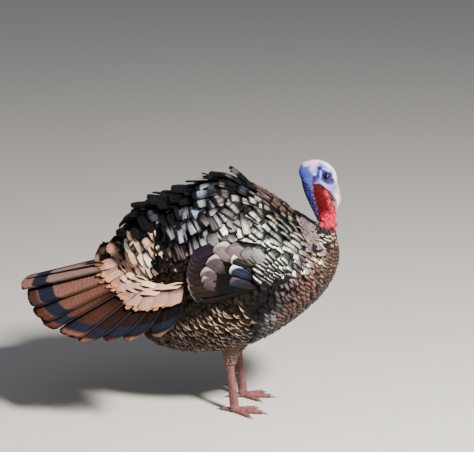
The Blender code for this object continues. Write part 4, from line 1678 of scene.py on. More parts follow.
@dataclass
class WingPlumage(OneSide):
    """The feathers of one folded wing, from the long quills up to the scapulars."""

    surface: Wing = field(init=False)

    def __post_init__(self) -> None:
        """Makes the wing's surface."""
        self.surface = Wing(self.sign)

    def small_coverts(self) -> Vanes:
        """Lesser and middle coverts on the front half. Returns: them."""
        apart = Spacing(
            knots=(3.6, 5.0, 7.0),
            gaps=(0.0165, 0.0150, 0.0125),
            pitches=(0.0260, 0.0220, 0.0140),
        )
        lattice = Lattice(self.surface, -0.20, 2.9, apart.gap, apart.pitch, steady(0.90))
        t, a = lattice.roots(-4.0, 7.4, 10)
        keep = (t < 7.1) & (t > 4.3 + 0.5 * a)
        t, a = t[keep], a[keep]
        rng = np.random.default_rng(SEED + 71 + self.sign)
        count = len(t)
        step = apart.gap(t) * 0.70
        edge = along(t, [4.0, 5.0, 6.0, 7.0], [1.55, 1.90, 1.65, 1.75]) + rng.normal(0.0, 0.08, count)
        # Painted sheen: the green-white strips stand for glare on the glossy coverts.
        ground = painted(GREEN_WHITE_SHEEN, BLACK, smoothstep(-0.05, 0.05, a - edge))
        ground = painted(ground, ROSE_BROWN, smoothstep(6.6, 7.0, t) * 0.5)
        return Vanes(
            t=t,
            a=a,
            length=step * 3.4 + 0.004,
            width=apart.pitch(t) * 1.5,
            turn=0.90 + rng.normal(0.0, 0.06, count),
            roll=rng.normal(0.0, 0.10, count),
            sink=0.008,
            rise=0.0030 + rng.uniform(0.0, 0.0015, count),
            curl=0.0,
            ground=gleaming(varied(ground, rng, 0.12), rng, 0.40),
            rim=BLACK,
            traits=feather_traits(0.865, 0.45, rng.random(count)),
        )

    def great_coverts(self) -> Vanes:
        """Broad feathers that point back and up, dark ones and lilac ones. Returns: them."""
        # edge is a painted highlight, the white-green sheen along the dark coverts' upper side; pale is
        # the lilac coverts' own pale edge.
        edge, pale = (0.60, 0.65, 0.58), (0.29, 0.225, 0.215)
        lilac = (0.084, 0.060, 0.065)
        rows = []
        for t, a, length, width, ground, rim, height in (
            (4.70, 2.55, 0.056, 0.020, BLACK, BLACK, 0.0030),
            (4.45, 2.25, 0.056, 0.022, INDIGO, PURPLE_BROWN, 0.0040),
            (4.50, 1.85, 0.060, 0.024, INDIGO, edge, 0.0052),
            (4.45, 1.45, 0.052, 0.022, BLACK, edge, 0.0064),
            (3.30, 2.40, 0.054, 0.022, PURPLE_BROWN, PURPLE_BROWN, 0.0030),
            (3.28, 2.15, 0.058, 0.022, lilac, pale, 0.0044),
            (3.30, 1.88, 0.060, 0.028, lilac, pale, 0.0058),
        ):
            rows.append(
                dict(t=t, a=a, length=length, width=width, turn=-0.48 if t > 4 else -0.68,
                     rise=height, sink=0.004, ground=ground, rim=rim, start=0.93, gloss=0.35)
            )
        return single(rows, 73 + self.sign)

    def scapulars(self) -> Vanes:
        """Large rounded feathers that fall over the wing's top edge. Returns: them."""
        grey, pale, lilac = (0.190, 0.175, 0.175), (0.39, 0.34, 0.33), (0.070, 0.048, 0.052)
        light = (0.195, 0.150, 0.160)
        rows = []
        for t, a, length, width, ground, rim, height in (
            (3.46, 1.60, 0.058, 0.038, lilac, pale, 0.0062),
            (3.76, 1.32, 0.062, 0.042, light, pale, 0.0074),
            (4.28, 1.34, 0.060, 0.038, light, lilac, 0.0086),
            (4.80, 1.44, 0.054, 0.030, grey, lilac, 0.0092),
            (5.25, 1.54, 0.054, 0.028, grey, grey, 0.0086),
        ):
            rows.append(
                dict(t=t, a=a, length=length, width=width, turn=-0.78, rise=height, sink=0.002,
                     ground=ground, rim=rim, start=0.955, gloss=0.35)
            )
        return single(rows, 75 + self.sign)

    def quills(self, count: int = 11) -> Vanes:
        """The long feathers whose edges close the wing at its rear.

        Args:
            count: how many.

        Returns:
            the feathers.
        """
        rng = np.random.default_rng(SEED + 81 + self.sign)
        share = np.linspace(0.0, 1.0, count)
        # Near-black: the quills' own dark colour, darkened further as painted shade where the lower
        # wing lies in shadow.
        ground = palette(
            (0.0, (0.018, 0.011, 0.019)), (0.35, (0.016, 0.009, 0.010)), (0.6, (0.020, 0.012, 0.007)),
            (1.0, (0.012, 0.007, 0.005)),
        )
        rim = palette(
            (0.0, (0.04, 0.03, 0.04)), (0.42, (0.06, 0.045, 0.05)), (0.55, (0.34, 0.28, 0.24))
        )
        return Vanes(
            t=4.6 - 0.3 * share,
            a=0.25 + 2.55 * share,
            length=0.150 + 0.014 * np.sin(math.pi * share) - 0.034 * share**2,
            width=0.030,
            turn=0.10 - 0.05 * share,
            roll=-0.12,
            sink=0.004,
            rise=0.0035 - 0.0030 * share,
            curl=-0.004,
            ground=varied(ground(share), rng, 0.1),
            rim=rim(share),
            traits=feather_traits(0.975, 0.15, rng.random(count)),
        )

    def build(self) -> list[bpy.types.Object]:
        """Meshes the wing. Returns: its pieces."""
        side = self.side.word
        finish = FeatherFinish(
            f"wing_vane_{side}", roughness=0.34, barbs=34.0, rachis=0.0, root=(0.66, 0.82), wrap=0.05,
            sheen=0.12, shadow=0.50,
        ).build()
        edged = FeatherFinish(
            f"covert_vane_{side}", roughness=0.36, barbs=60.0, rachis=0.2, root=(0.10, 0.45),
            wrap=0.08, upper=0.32, soft=0.07,
        ).build()
        flight = FeatherFinish(
            f"flight_vane_{side}", roughness=0.46, barbs=90.0, rachis=0.0, sheen=0.15
        ).build()
        small = VaneShape(7, 10, 0.42, 3.2, tip_stations=6)
        large = VaneShape(9, 16, 0.62, 2.6, 0.5, 0.24, 0.0009, 8, 0.0015)
        long = VaneShape(9, 20, 0.8, 2.2, 0.5, 0.12, 0.0009, 7)
        quills = Coat(f"quills_{side}", long, "bronze_feather", (0.08, 0.08)).build(
            self.surface, self.quills(), flight
        )
        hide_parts(f"wing_{side}")
        return [
            quills,
            Coat(f"small_coverts_{side}", small, "bronze_feather", (0.02, 0.02)).build(
                self.surface, self.small_coverts(), finish
            ),
            Coat(f"great_coverts_{side}", large, "bronze_feather", (0.09, 0.09)).build(
                self.surface, join([self.great_coverts(), self.scapulars()]), edged
            ),
        ]


@dataclass
class LegPlumage(OneSide):
    """The small feathers of one feathered leg."""

    def build(self) -> bpy.types.Object:
        """Meshes the leg's feathers. Returns: the piece."""
        surface = Thigh(self.sign)
        apart = steady(0.0075)
        lattice = Lattice(surface, -math.pi, math.pi, apart, apart, steady(0.0))
        t, a = lattice.roots(0.15, 4.0, 20)
        rng = np.random.default_rng(SEED + 91 + self.sign)
        count = len(t)
        size = along(t, [0.0, 4.0], [0.65, 1.2])
        ground = palette(
            (0.0, (0.13, 0.080, 0.060)), (1.5, (0.070, 0.042, 0.030)), (4.0, DARK_BROWN)
        )(t)
        vanes = Vanes(
            t=t,
            a=a,
            length=0.026 * size,
            width=0.0125 * size,
            turn=rng.normal(0.0, 0.10, count),
            roll=rng.normal(0.0, 0.15, count),
            sink=0.004,
            rise=0.0008 + rng.uniform(0.0, 0.0015, count),
            curl=0.0,
            ground=varied(ground, rng, 0.2),
            rim=varied(ground * 1.8, rng, 0.2),
            traits=feather_traits(0.90, 0.05, rng.random(count)),
        )
        side = self.side.word
        finish = FeatherFinish(f"leg_vane_{side}", roughness=0.55, barbs=20.0)
        return Coat(f"leg_feathers_{side}", VaneShape(), "flank_feather", (0.006, 0.006)).build(
            surface, vanes, finish.build()
        )


@dataclass
class Tail:
    """The fanned tail: long feathers under rows of coverts."""

    feathers: int = 18
    reach: float = 0.402
    side_loss: float = 0.070
    covert_reach: float = 0.207

    def rectrices(self) -> Vanes:
        """The long tail feathers, the middle one on top. Returns: them."""
        rng = np.random.default_rng(SEED + 101)
        a = np.radians(np.linspace(-TAIL_HALF_ANGLE, TAIL_HALF_ANGLE, self.feathers))
        outer = np.abs(a) / math.radians(TAIL_HALF_ANGLE)
        start = 0.055
        end = self.reach - self.side_loss * outer**1.6
        count = self.feathers
        # Darker towards the outer feathers: partly their own colour, partly painted shade from body and
        # wing.
        ground = palette(
            (0.0, (0.440, 0.310, 0.300)), (0.10, (0.300, 0.155, 0.130)), (0.22, (0.190, 0.084, 0.060)),
            (0.45, (0.080, 0.032, 0.024)),
            (0.65, (0.026, 0.013, 0.011)), (1.0, (0.010, 0.007, 0.007)),
        )(outer)
        return Vanes(
            t=-start,
            a=a + rng.normal(0.0, 0.006, count),
            length=end - start + rng.uniform(-0.018, 0.0, count) * smoothstep(0.02, 0.25, outer),
            width=0.112 - 0.032 * outer**1.5,
            turn=rng.normal(0.0, 0.012, count),
            roll=np.where(a < 0, 0.15, -0.15) + rng.normal(0.0, 0.06, count),
            sink=0.0020,
            rise=0.0060 - 0.0070 * outer + rng.uniform(0, 0.0010, count),
            curl=rng.uniform(-0.002, 0.002, count),
            ground=varied(ground, rng, 0.10),
            rim=gleaming(
                painted((0.120, 0.042, 0.024), (0.150, 0.078, 0.064), rng.random(count)), rng, 0.60
            ),
            # A lower gloss on the outer feathers also lets the painted shade from the coverts reach
            # further along them.
            traits=feather_traits(
                0.925 + 0.030 * smoothstep(0.45, 0.80, outer),
                0.10 - 0.06 * smoothstep(0.15, 0.48, outer),
                rng.random(count),
            ),
        )

    def coverts(self) -> Vanes:
        """A long outer row of coverts, short rows up to the rump, a torn fringe. Returns: them."""
        rng = np.random.default_rng(SEED + 111)
        half = math.radians(TAIL_HALF_ANGLE - 1.0)
        fringe = (0.52, 0.235, 0.125)
        batches = []
        for row, (back, length, width, number) in enumerate(
            ((-0.004, 0.050, 0.011, 70), (0.0, 0.125, 0.046, 22), (0.052, 0.080, 0.056, 13),
             (0.064, 0.074, 0.056, 12), (0.076, 0.068, 0.055, 11), (0.088, 0.062, 0.054, 10),
             (0.099, 0.058, 0.052, 10), (0.110, 0.054, 0.050, 9), (0.121, 0.052, 0.048, 9),
             (0.132, 0.050, 0.046, 8))
        ):
            a = np.linspace(-half, half, number) + (row % 2) * half / number
            side = np.sin(a) ** 2
            dip = bump(np.abs(a), 0.90, 0.32) * (0.17 if row < 2 else 0.03)
            reach = self.covert_reach * (1 + 0.36 * side - 0.20 * side**8 - dip) - back
            if row == 0:
                reach = reach + rng.uniform(-0.010, 0.007, number)
                ground, rim, start = np.tile(fringe, (number, 1)), fringe, 0.97
            elif row == 1:
                reach = reach + rng.uniform(-0.009, 0.002, number)
                ground = painted((0.380, 0.180, 0.125), (0.47, 0.285, 0.235), rng.random(number))
                rim, start = fringe, 0.90
            else:
                reach = reach + rng.uniform(-0.003, 0.002, number)
                worn = smoothstep(4.5, 1.5, row + rng.random(number))
                ground = painted(CREAM, (0.74, 0.43, 0.31), worn)
                rim, start = BLACK, 0.95
            batches.append(
                Vanes(
                    t=-(reach - length),
                    a=a,
                    length=length,
                    width=width * rng.uniform(0.95, 1.1, number),
                    turn=rng.normal(0.0, 0.03 if row else 0.12, number),
                    roll=rng.normal(0.0, 0.03 if row else 0.08, number),
                    sink=0.006,
                    rise=0.0006 + 0.0008 * row + rng.uniform(0, 0.0004, number),
                    curl=0.0,
                    ground=gleaming(varied(ground, rng, 0.10), rng, 0.22),
                    rim=varied(np.tile(rim, (number, 1)), rng, 0.12),
                    traits=feather_traits(start, 0.12, rng.random(number)),
                )
            )
        return join(batches)

    def build(self) -> list[bpy.types.Object]:
        """Meshes the tail. Returns: its pieces."""
        long = VaneShape(13, 26, 0.34, 3.2, 0.28, 0.035, 0.0011, 8, 0.009)
        covert = VaneShape(7, 12, 0.8, 2.4, 0.4, 0.12, 0.0008, 6, 0.005)
        tail_finish = FeatherFinish(
            "tail_vane", roughness=0.42, barbs=120.0, bars=34.0, bar_depth=0.22, band=(0.815, 0.915),
            band_colour=(0.012, 0.016, 0.030), rachis=0.08, root=(0.62, 0.92), reach=4.6, margin=0.85,
            shift=0.05, sheen=0.10,
        )
        covert_finish = FeatherFinish(
            "tail_covert_vane", roughness=0.42, barbs=40.0, rachis=0.2, root=(0.50, 0.72), wrap=0.04,
            margin=0.45, sheen=0.14,
        )
        slim = VaneShape(13, 26, 1.5, 1.9, 0.28, 0.035, 0.0011, 10, 0.006)
        quills, finish = self.rectrices(), tail_finish.build()
        inner = np.abs(quills.a) < math.radians(50.0)
        tail = Coat("tail_feathers", long, "tail_feather", (0.055, 0.9)).build(
            Fan(0.0015), quills.part(inner), finish
        )
        edge = Coat("tail_edge_feathers", slim, "tail_feather", (0.055, 0.9)).build(
            Fan(0.0015), quills.part(~inner), finish
        )
        coverts = Coat("tail_covert_feathers", covert, "covert_feather", (0.03, 0.03)).build(
            Fan(0.0118, 0.0175), self.coverts(), covert_finish.build()
        )
        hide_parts("tail_left", "tail_middle", "tail_right")
        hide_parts("tail_coverts")
        return [tail, edge, coverts]


# ------------------------------------------------------------------ flesh and horn
def oval(points: int, power: float = 2.0) -> tuple[Array, Array]:
    """A unit superellipse. Returns: its two coordinates, anticlockwise."""
    side, ahead = rounded(np.linspace(0.0, 2 * math.pi, points, endpoint=False), power)
    return ahead, side


def upright_rings(
    rows: Sequence[Sequence[float]], count: int, points: int, power: float = 2.1
) -> Array:
    """Rings across x.

    Args:
        rows: x, lowest z, highest z, half width.
        count: how many rings.
        points: points of a ring.
        power: 2 is an ellipse, more is squarer.

    Returns:
        the rings.
    """
    table = SmoothTable(rows)(np.linspace(0.0, len(rows) - 1, count))
    a, b = oval(points, power)
    middle, tall = (table[:, 1] + table[:, 2]) / 2, (table[:, 2] - table[:, 1]) / 2
    return np.stack(
        [
            np.repeat(table[:, :1], points, axis=1),
            table[:, 3:4] * a,
            middle[:, None] + tall[:, None] * b,
        ],
        axis=-1,
    )


def column_rings(rows: Sequence[Sequence[float]], count: int, points: int) -> Array:
    """Rings round a column that leans in XZ.

    Args:
        rows: x, z, half depth, half width.
        count: how many rings.
        points: points of a ring.

    Returns:
        the rings.
    """
    table = SmoothTable(rows)(np.linspace(0.0, len(rows) - 1, count))
    way = unit(np.gradient(table[:, :2], axis=0))
    a, b = oval(points)
    return np.stack(
        [
            table[:, :1] - way[:, 1:2] * table[:, 2:3] * a + FEET_X,
            table[:, 3:4] * b,
            table[:, 1:2] + way[:, 0:1] * table[:, 2:3] * a,
        ],
        axis=-1,
    )


def tube_rings(path: Array, radii: Array, points: int, flat: float = 1.0) -> Array:
    """Rings round a free path.

    Args:
        path: its points.
        radii: one for each point.
        points: points of a ring.
        flat: its narrow radius over its wide one.

    Returns:
        the rings.
    """
    way = unit(np.gradient(path, axis=0))
    side = unit(np.cross(way, np.array([1.0, 0.2, 0.1])))
    up = np.cross(way, side)
    a, b = oval(points)
    return (
        path[:, None, :]
        + side[:, None, :] * (radii[:, None] * a * flat)[..., None]
        + up[:, None, :] * (radii[:, None] * b)[..., None]
    )


def loft_faces(rings: int, points: int) -> list[Array]:
    """Faces of a closed body over rings.

    Args:
        rings: how many.
        points: points of a ring.

    Returns:
        the sides as quads, and both ends.
    """
    i = np.arange(rings - 1)[:, None] * points
    k = np.arange(points)[None, :]
    k2 = (k + 1) % points
    quads = np.stack([i + k, i + k2, i + points + k2, i + points + k], -1).reshape(-1, 4)
    first = np.arange(points)[::-1][None, :]
    last = (rings - 1) * points + np.arange(points)[None, :]
    return [quads, first, last]


def outward(mesh: bpy.types.Mesh) -> bpy.types.Mesh:
    """Turns every face of a closed mesh outward.

    Args:
        mesh: the mesh; it changes.

    Returns:
        the same mesh.
    """
    bm = bmesh.new()
    bm.from_mesh(mesh)
    bmesh.ops.recalc_face_normals(bm, faces=bm.faces)
    bm.to_mesh(mesh)
    bm.free()
    return mesh


def head_matrix() -> Matrix:
    """Carries the head's own axes, x to the bill and z to the crown, into place."""
    turn = Matrix.Rotation(HEAD_TURN, 4, "Z") @ Matrix.Rotation(HEAD_PITCH, 4, "Y")
    return Matrix.Translation(Vector(HEAD_CENTRE) + Vector(FEET)) @ turn


def carried(matrix: Matrix, points: Array) -> Array:
    """Points moved by a matrix."""
    m = np.array(matrix)
    return points @ m[:3, :3].T + m[:3, 3]


@dataclass
class Flesh:
    """Closed lumps that are melted into one skin."""

    voxel: float
    lumps: list[tuple[Array, list[Array]]] = field(default_factory=list)

    def loft(self, rings: Array, matrix: Matrix | None = None) -> None:
        """Adds a body over rings.

        Args:
            rings: the rings.
            matrix: where it is carried.
        """
        points = rings.reshape(-1, 3)
        points = carried(matrix, points) if matrix else points
        self.lumps.append((points, loft_faces(rings.shape[0], rings.shape[1])))

    def ball(
        self, centre: Sequence[float], size: Sequence[float], matrix: Matrix | None = None
    ) -> None:
        """Adds an ellipsoid.

        Args:
            centre: its centre.
            size: its half axes.
            matrix: where it is carried.
        """
        angle = np.linspace(0.04, math.pi - 0.04, 13)
        turn = np.linspace(0.0, 2 * math.pi, 20, endpoint=False)
        rings = np.stack(
            [
                np.sin(angle)[:, None] * np.cos(turn)[None, :] * size[0],
                np.sin(angle)[:, None] * np.sin(turn)[None, :] * size[1],
                np.cos(angle)[:, None] * np.ones(20)[None, :] * size[2],
            ],
            axis=-1,
        )
        self.loft(rings + np.array(centre), matrix)

    def melt(self, name: str, rounds: int = 3) -> bpy.types.Mesh:
        """Melts the lumps together.

        Args:
            name: the mesh's name.
            rounds: how often it is smoothed.

        Returns:
            one smooth closed mesh.
        """
        bm = bmesh.new()
        for points, faces in self.lumps:
            lump = outward(make_mesh("lump", points, faces))
            bm.from_mesh(lump)
            bpy.data.meshes.remove(lump)
        raw = bpy.data.meshes.new(name)
        bm.to_mesh(raw)
        bm.free()
        obj = bpy.data.objects.new(name, raw)
        bpy.context.scene.collection.objects.link(obj)
        remesh = obj.modifiers.new("melt", "REMESH")
        remesh.mode = "VOXEL"
        remesh.voxel_size = self.voxel
        remesh.use_smooth_shade = True
        soften = obj.modifiers.new("soften", "SMOOTH")
        soften.factor = 0.5
        soften.iterations = rounds
        graph = bpy.context.evaluated_depsgraph_get()
        melted = bpy.data.meshes.new_from_object(obj.evaluated_get(graph))
        bpy.data.objects.remove(obj)
        bpy.data.meshes.remove(raw)
        return melted


def read_points(mesh: bpy.types.Mesh) -> tuple[Array, Array]:
    """Reads a mesh.

    Args:
        mesh: the mesh.

    Returns:
        vertex places and normals.
    """
    place, normal = (np.zeros(len(mesh.vertices) * 3, np.float32) for _ in range(2))
    mesh.vertices.foreach_get("co", place)
    mesh.vertex_normals.foreach_get("vector", normal)
    return place.reshape(-1, 3).astype(float), normal.reshape(-1, 3).astype(float)


def write_points(mesh: bpy.types.Mesh, place: Array) -> None:
    """Moves the vertices."""
    mesh.vertices.foreach_set("co", np.ascontiguousarray(place, np.float32).ravel())
    mesh.update()


@dataclass(frozen=True)
class Spot:
    """A soft patch of colour on the side of the head."""

    x: float
    z: float
    long: float  # half length and half breadth
    short: float
    tilt: float  # degrees the long way rises forwards
    colour: tuple[float, float, float]
    strength: float = 1.0

    def share(self, x: Array, z: Array) -> Array:
        """How much of it shows.

        Args:
            x, z: where on the side of the head.

        Returns:
            0 to its strength.
        """
        tilt = math.radians(self.tilt)
        u = ((x - self.x) * math.cos(tilt) + (z - self.z) * math.sin(tilt)) / self.long
        v = ((z - self.z) * math.cos(tilt) - (x - self.x) * math.sin(tilt)) / self.short
        return smoothstep(1.40, 0.55, np.hypot(u, v)) * self.strength


HEAD_SPOTS = (
    Spot(0.1475, 0.5517, 0.033, 0.0155, -75, (0.055, 0.075, 0.38)),
    Spot(0.1460, 0.5790, 0.009, 0.0060, 0, (0.55, 0.53, 0.66), 0.9),
    Spot(0.1675, 0.5705, 0.014, 0.0100, -60, (0.40, 0.37, 0.60), 0.9),
    Spot(0.1675, 0.5880, 0.018, 0.0080, 8, (0.80, 0.46, 0.48), 0.9),
    Spot(0.1995, 0.5815, 0.026, 0.0100, -40, (0.74, 0.74, 0.82)),
    Spot(0.2145, 0.5560, 0.022, 0.0075, -80, (0.70, 0.71, 0.86)),
    Spot(0.1895, 0.5575, 0.022, 0.0160, -35, (0.022, 0.026, 0.20)),
    Spot(0.1810, 0.5715, 0.009, 0.0040, -10, (0.006, 0.008, 0.06)),
    # A thin lilac arc over the eye: painted highlight on the upper lid.
    Spot(0.1950, 0.5680, 0.011, 0.0024, -25, (0.30, 0.32, 0.70)),
    Spot(0.1765, 0.5535, 0.009, 0.0038, 80, (0.012, 0.020, 0.14)),
    Spot(0.1820, 0.5580, 0.0098, 0.0026, 90, (0.17, 0.30, 1.0)),
    Spot(0.1685, 0.5582, 0.0036, 0.0030, 0, (0.58, 0.58, 0.90)),
    Spot(0.1672, 0.5460, 0.011, 0.0058, 80, (0.050, 0.014, 0.10)),
    Spot(0.1965, 0.5552, 0.0112, 0.0092, -20, (0.004, 0.004, 0.022)),
    Spot(0.2055, 0.5445, 0.0095, 0.0065, -50, (0.040, 0.028, 0.18)),
    Spot(0.1985, 0.5275, 0.026, 0.0062, -46, (0.40, 0.42, 0.76)),
    Spot(0.1925, 0.5425, 0.0135, 0.0052, -32, (0.040, 0.030, 0.19), 0.9),
    Spot(0.1905, 0.5345, 0.0120, 0.0016, -40, (0.62, 0.60, 0.86), 0.8),
    Spot(0.2035, 0.5255, 0.0060, 0.0022, -46, (0.16, 0.16, 0.44), 0.8),
    Spot(0.1960, 0.5300, 0.0050, 0.0016, -46, (0.18, 0.18, 0.46), 0.7),
    Spot(0.2100, 0.5300, 0.006, 0.0050, -45, (0.28, 0.22, 0.44), 0.8),
)


def gape(x: Array) -> Array:
    """Height of the mouth's line: steep up to its corner, nearly level in front of it."""
    return np.minimum(-0.0060 + 0.10 * (x - 0.016), -0.0061 + 0.86 * (x - 0.0159))


def wrinkled_tube(
    rows: Sequence[Sequence[float]], rings: int, depth: float, pace: float, flat: float = 1.0
) -> Array:
    """Rings round a wrinkled tube.

    Args:
        rows: x, y, z and radius along it.
        rings: how many.
        depth: depth of a wrinkle over the radius.
        pace: radians from ring to ring.
        flat: its narrow radius over its wide one.

    Returns:
        The rings.
    """
    table = SmoothTable(np.array(rows) + np.array([*FEET, 0.0]))(np.linspace(0, len(rows) - 1, rings))
    wrinkle = 1.0 + depth * np.sin(np.arange(rings) * pace)
    return tube_rings(table[:, :3], table[:, 3] * wrinkle, 20, flat)


@dataclass
class Head:
    """Head and bare neck, with their folds, lobes and lids."""

    voxel: float = 0.00080
    around: int = 40  # points round head and neck
    snood: tuple = (
        (0.2060, 0.0030, 0.5440, 0.0042),
        (0.2126, 0.0072, 0.5310, 0.0042),
        (0.2170, 0.0105, 0.5150, 0.0042),
        (0.2196, 0.0120, 0.4990, 0.0046),
        (0.2200, 0.0120, 0.4870, 0.0036),
    )
    throat: tuple = (
        (0.1830, 0.0, 0.5230, 0.0080),
        (0.1900, 0.0, 0.5080, 0.0095),
        (0.1965, 0.0, 0.4920, 0.0098),
        (0.2035, 0.0, 0.4740, 0.0092),
        (0.2080, 0.0, 0.4570, 0.0085),
    )
    lobes: tuple = (
        (0.1855, 0.0215, 0.4395, 0.0088),
        (0.1970, 0.0205, 0.4385, 0.0098),
        (0.2085, 0.0105, 0.4385, 0.0082),
        (0.1935, 0.0150, 0.4610, 0.0048),
        (0.2005, 0.0120, 0.4555, 0.0046),
        (0.2080, 0.0060, 0.4535, 0.0046),
        (0.1870, 0.0165, 0.4525, 0.0044),
        (0.2040, 0.0100, 0.4675, 0.0040),
        (0.1945, 0.0130, 0.4275, 0.0085),
        (0.2050, 0.0060, 0.4285, 0.0070),
    )

    def lids(self, flesh: Flesh, matrix: Matrix, side: int) -> None:
        """Rings of lid round one eye.

        Args:
            flesh: what they are added to.
            matrix: the head's place.
            side: the sign of Y.
        """
        x, y, z = EYE_SPOT
        angle = np.linspace(0.0, 2 * math.pi, 25)[:-1]
        for radius, thick, out in ((0.0070, 0.00120, 0.0050), (0.0094, 0.0011, 0.0035)):
            for k in angle:
                flesh.ball(
                    (
                        x + radius * 1.10 * math.cos(k),
                        side * (y + out - 0.0006 * abs(math.cos(k))),
                        z + radius * 0.92 * math.sin(k),
                    ),
                    (thick * 1.3, thick, thick * 1.3),
                    matrix,
                )

    def mesh(self) -> bpy.types.Mesh:
        """Melts head and neck and works their surface. Returns: the mesh."""
        matrix = head_matrix()
        flesh = Flesh(self.voxel)
        flesh.loft(upright_rings(HEAD_ROWS, 22, self.around), matrix)
        flesh.loft(column_rings(BARE_NECK, 26, self.around))
        flesh.loft(wrinkled_tube(self.snood, 26, 0.07, 1.9))
        flesh.ball((0.1520 + FEET_X, 0.0, 0.5490), (0.0138, 0.0150, 0.0170))
        for side in (-1, 1):
            for cx, cy, cz, radius in self.lobes:
                centre = (cx + FEET_X + side * 0.0006, side * cy, cz - side * 0.0012)
                flesh.ball(centre, (radius, radius * 0.96, radius * 0.92))
            self.lids(flesh, matrix, side)
            flesh.ball((0.0200, side * 0.0130, 0.0245), (0.0115, 0.0034, 0.0028), matrix)
            flesh.ball((0.0060, side * 0.0125, -0.0040), (0.0160, 0.0062, 0.0090), matrix)
            flesh.ball((-0.0080, side * 0.0165, 0.0080), (0.0050, 0.0032, 0.0062), matrix)
        flesh.loft(wrinkled_tube(self.throat, 20, 0.10, 1.5, 0.62))
        mesh = flesh.melt("head_skin", 3)
        self.work(mesh, matrix)
        return mesh

    def work(self, mesh: bpy.types.Mesh, matrix: Matrix) -> None:
        """Raises beads and wrinkles and stores the skin's colours.

        Args:
            mesh: the skin; it changes.
            matrix: the head's place.
        """
        place, normal = read_points(mesh)
        local = carried(matrix.inverted(), place)
        x, _, z = local.T
        world_x, world_z = place[:, 0] - FEET_X, place[:, 2]
        neck = smoothstep(0.525, 0.512, world_z + 0.85 * (world_x - 0.172))
        nape = neck * smoothstep(0.176, 0.168, world_x + 0.30 * (world_z - 0.49))
        beads = 1.0 - np.clip(cells(place, 210.0) / 0.62, 0.0, 1.0)
        fine = 1.0 - np.clip(cells(place, 420.0) / 0.60, 0.0, 1.0)
        folds = speckle(place * np.array([1.0, 1.0, 2.6]), 120.0, 3)
        eye_off = np.sqrt((x - EYE_SPOT[0]) ** 2 + (z - EYE_SPOT[2]) ** 2)
        calm = smoothstep(0.0065, 0.0110, eye_off)
        cover = 0.75 - 0.55 * smoothstep(0.462, 0.450, world_z)
        cut = z - gape(x)
        height = (0.0011 * beads * (0.35 + 0.65 * nape) + 0.00045 * folds) * neck * cover
        height = height + (1 - neck) * calm * (0.00035 * fine + 0.00030 * folds)
        height = height - 0.0011 * bump(cut, -0.0004, 0.0011) * smoothstep(0.012, 0.020, x)
        write_points(mesh, place + normal * height[:, None])
        add_colour(mesh, "tint", self.colours(local, world_x, world_z, neck, beads))

    def colours(self, local: Array, wx: Array, wz: Array, neck: Array, beads: Array) -> Array:
        """The skin's colours by place.

        Args:
            local: places in the head's own axes.
            wx, wz: X from the feet, and Z.
            neck: how much each place is neck.
            beads: how much it is bead.

        Returns:
            one colour for each place.
        """
        x, y, z = local.T
        lump = speckle(local, 130.0, 5) * 0.5 + 0.5
        tone = np.tile((0.13, 0.17, 0.46), (len(x), 1))
        stir = speckle(local, 330.0, 6)
        for spot in HEAD_SPOTS:
            tone = painted(tone, spot.colour, spot.share(wx + 0.0016 * stir, wz + 0.003 * (lump - 0.5)))
        below = z - gape(x)
        # A dark line along the mouth: its own gap, with painted shade in its groove.
        line = bump(below, -0.0004, 0.0012) * smoothstep(0.014, 0.020, x)
        behind = wx + 0.20 * (wz - 0.538)
        red_side = smoothstep(0.1575, 0.1655, behind + 0.006 * (lump - 0.5))
        # Painted light and shade on the red skin: deep red behind, as in shade, and a lit pink-red
        # along the front edge, the line front.
        front = along(
            wz, [0.431, 0.4496, 0.4726, 0.496, 0.517], [0.2148, 0.2171, 0.2132, 0.2067, 0.199]
        )
        lit = smoothstep(-0.0135, -0.0045, wx - front + 0.006 * (lump - 0.5))
        throat = mixed((0.044, 0.0, 0.0004), (0.120, 0.0, 0.0010), beads * 0.7)
        lit_red = mixed((0.25, 0.004, 0.016), (0.68, 0.060, 0.110), beads)
        throat = mixed(throat, lit_red, lit)
        lobes = smoothstep(0.478, 0.456, wz + 0.008 * (lump - 0.5)) * smoothstep(0.424, 0.434, wz)
        lobe = mixed((0.33, 0.003, 0.030), (0.66, 0.040, 0.105), beads)
        throat = mixed(throat, lobe, lobes * smoothstep(0.178, 0.186, wx))
        stripe = mixed((0.015, 0.016, 0.08), (0.065, 0.075, 0.38), beads)
        seam = bump(behind, 0.1635, 0.0048) * smoothstep(0.54, 0.52, wz)
        stripe = mixed(stripe, (0.42, 0.20, 0.32), seam * beads)
        column = mixed(stripe, throat, red_side)
        low = smoothstep(0.0004, -0.0012, below) * red_side
        tone = mixed(tone, column, np.maximum(neck, low))
        tone = painted(tone, (0.010, 0.004, 0.008), line * 0.95)
        over_bill = smoothstep(0.2060, 0.2090, wx - 0.20 * (0.54 - wz)) * (wz > 0.480)
        over_bill = over_bill * smoothstep(-0.001, 0.004, y)
        tip = mixed((0.72, 0.42, 0.42), (0.48, 0.15, 0.16), lump)
        tone = mixed(tone, tip, over_bill)
        return np.clip(tone * (0.85 + 0.30 * lump[:, None]), 0.0, 1.0)


def dressed(
    name: str, mesh: bpy.types.Mesh, share: Array, finish: bpy.types.Material, slot: str
) -> bpy.types.Object:
    """Places a mesh whose finish reads one number at each vertex.

    Args:
        name: the piece's name.
        mesh: its shape.
        share: the number at each vertex.
        finish: its material.
        slot: passed on to placed, which does not use it.

    Returns:
        The piece.
    """
    add_colour(mesh, "tint", np.repeat(share[:, None], 3, axis=1))
    mesh.materials.append(finish)
    return placed(name, mesh, slot)


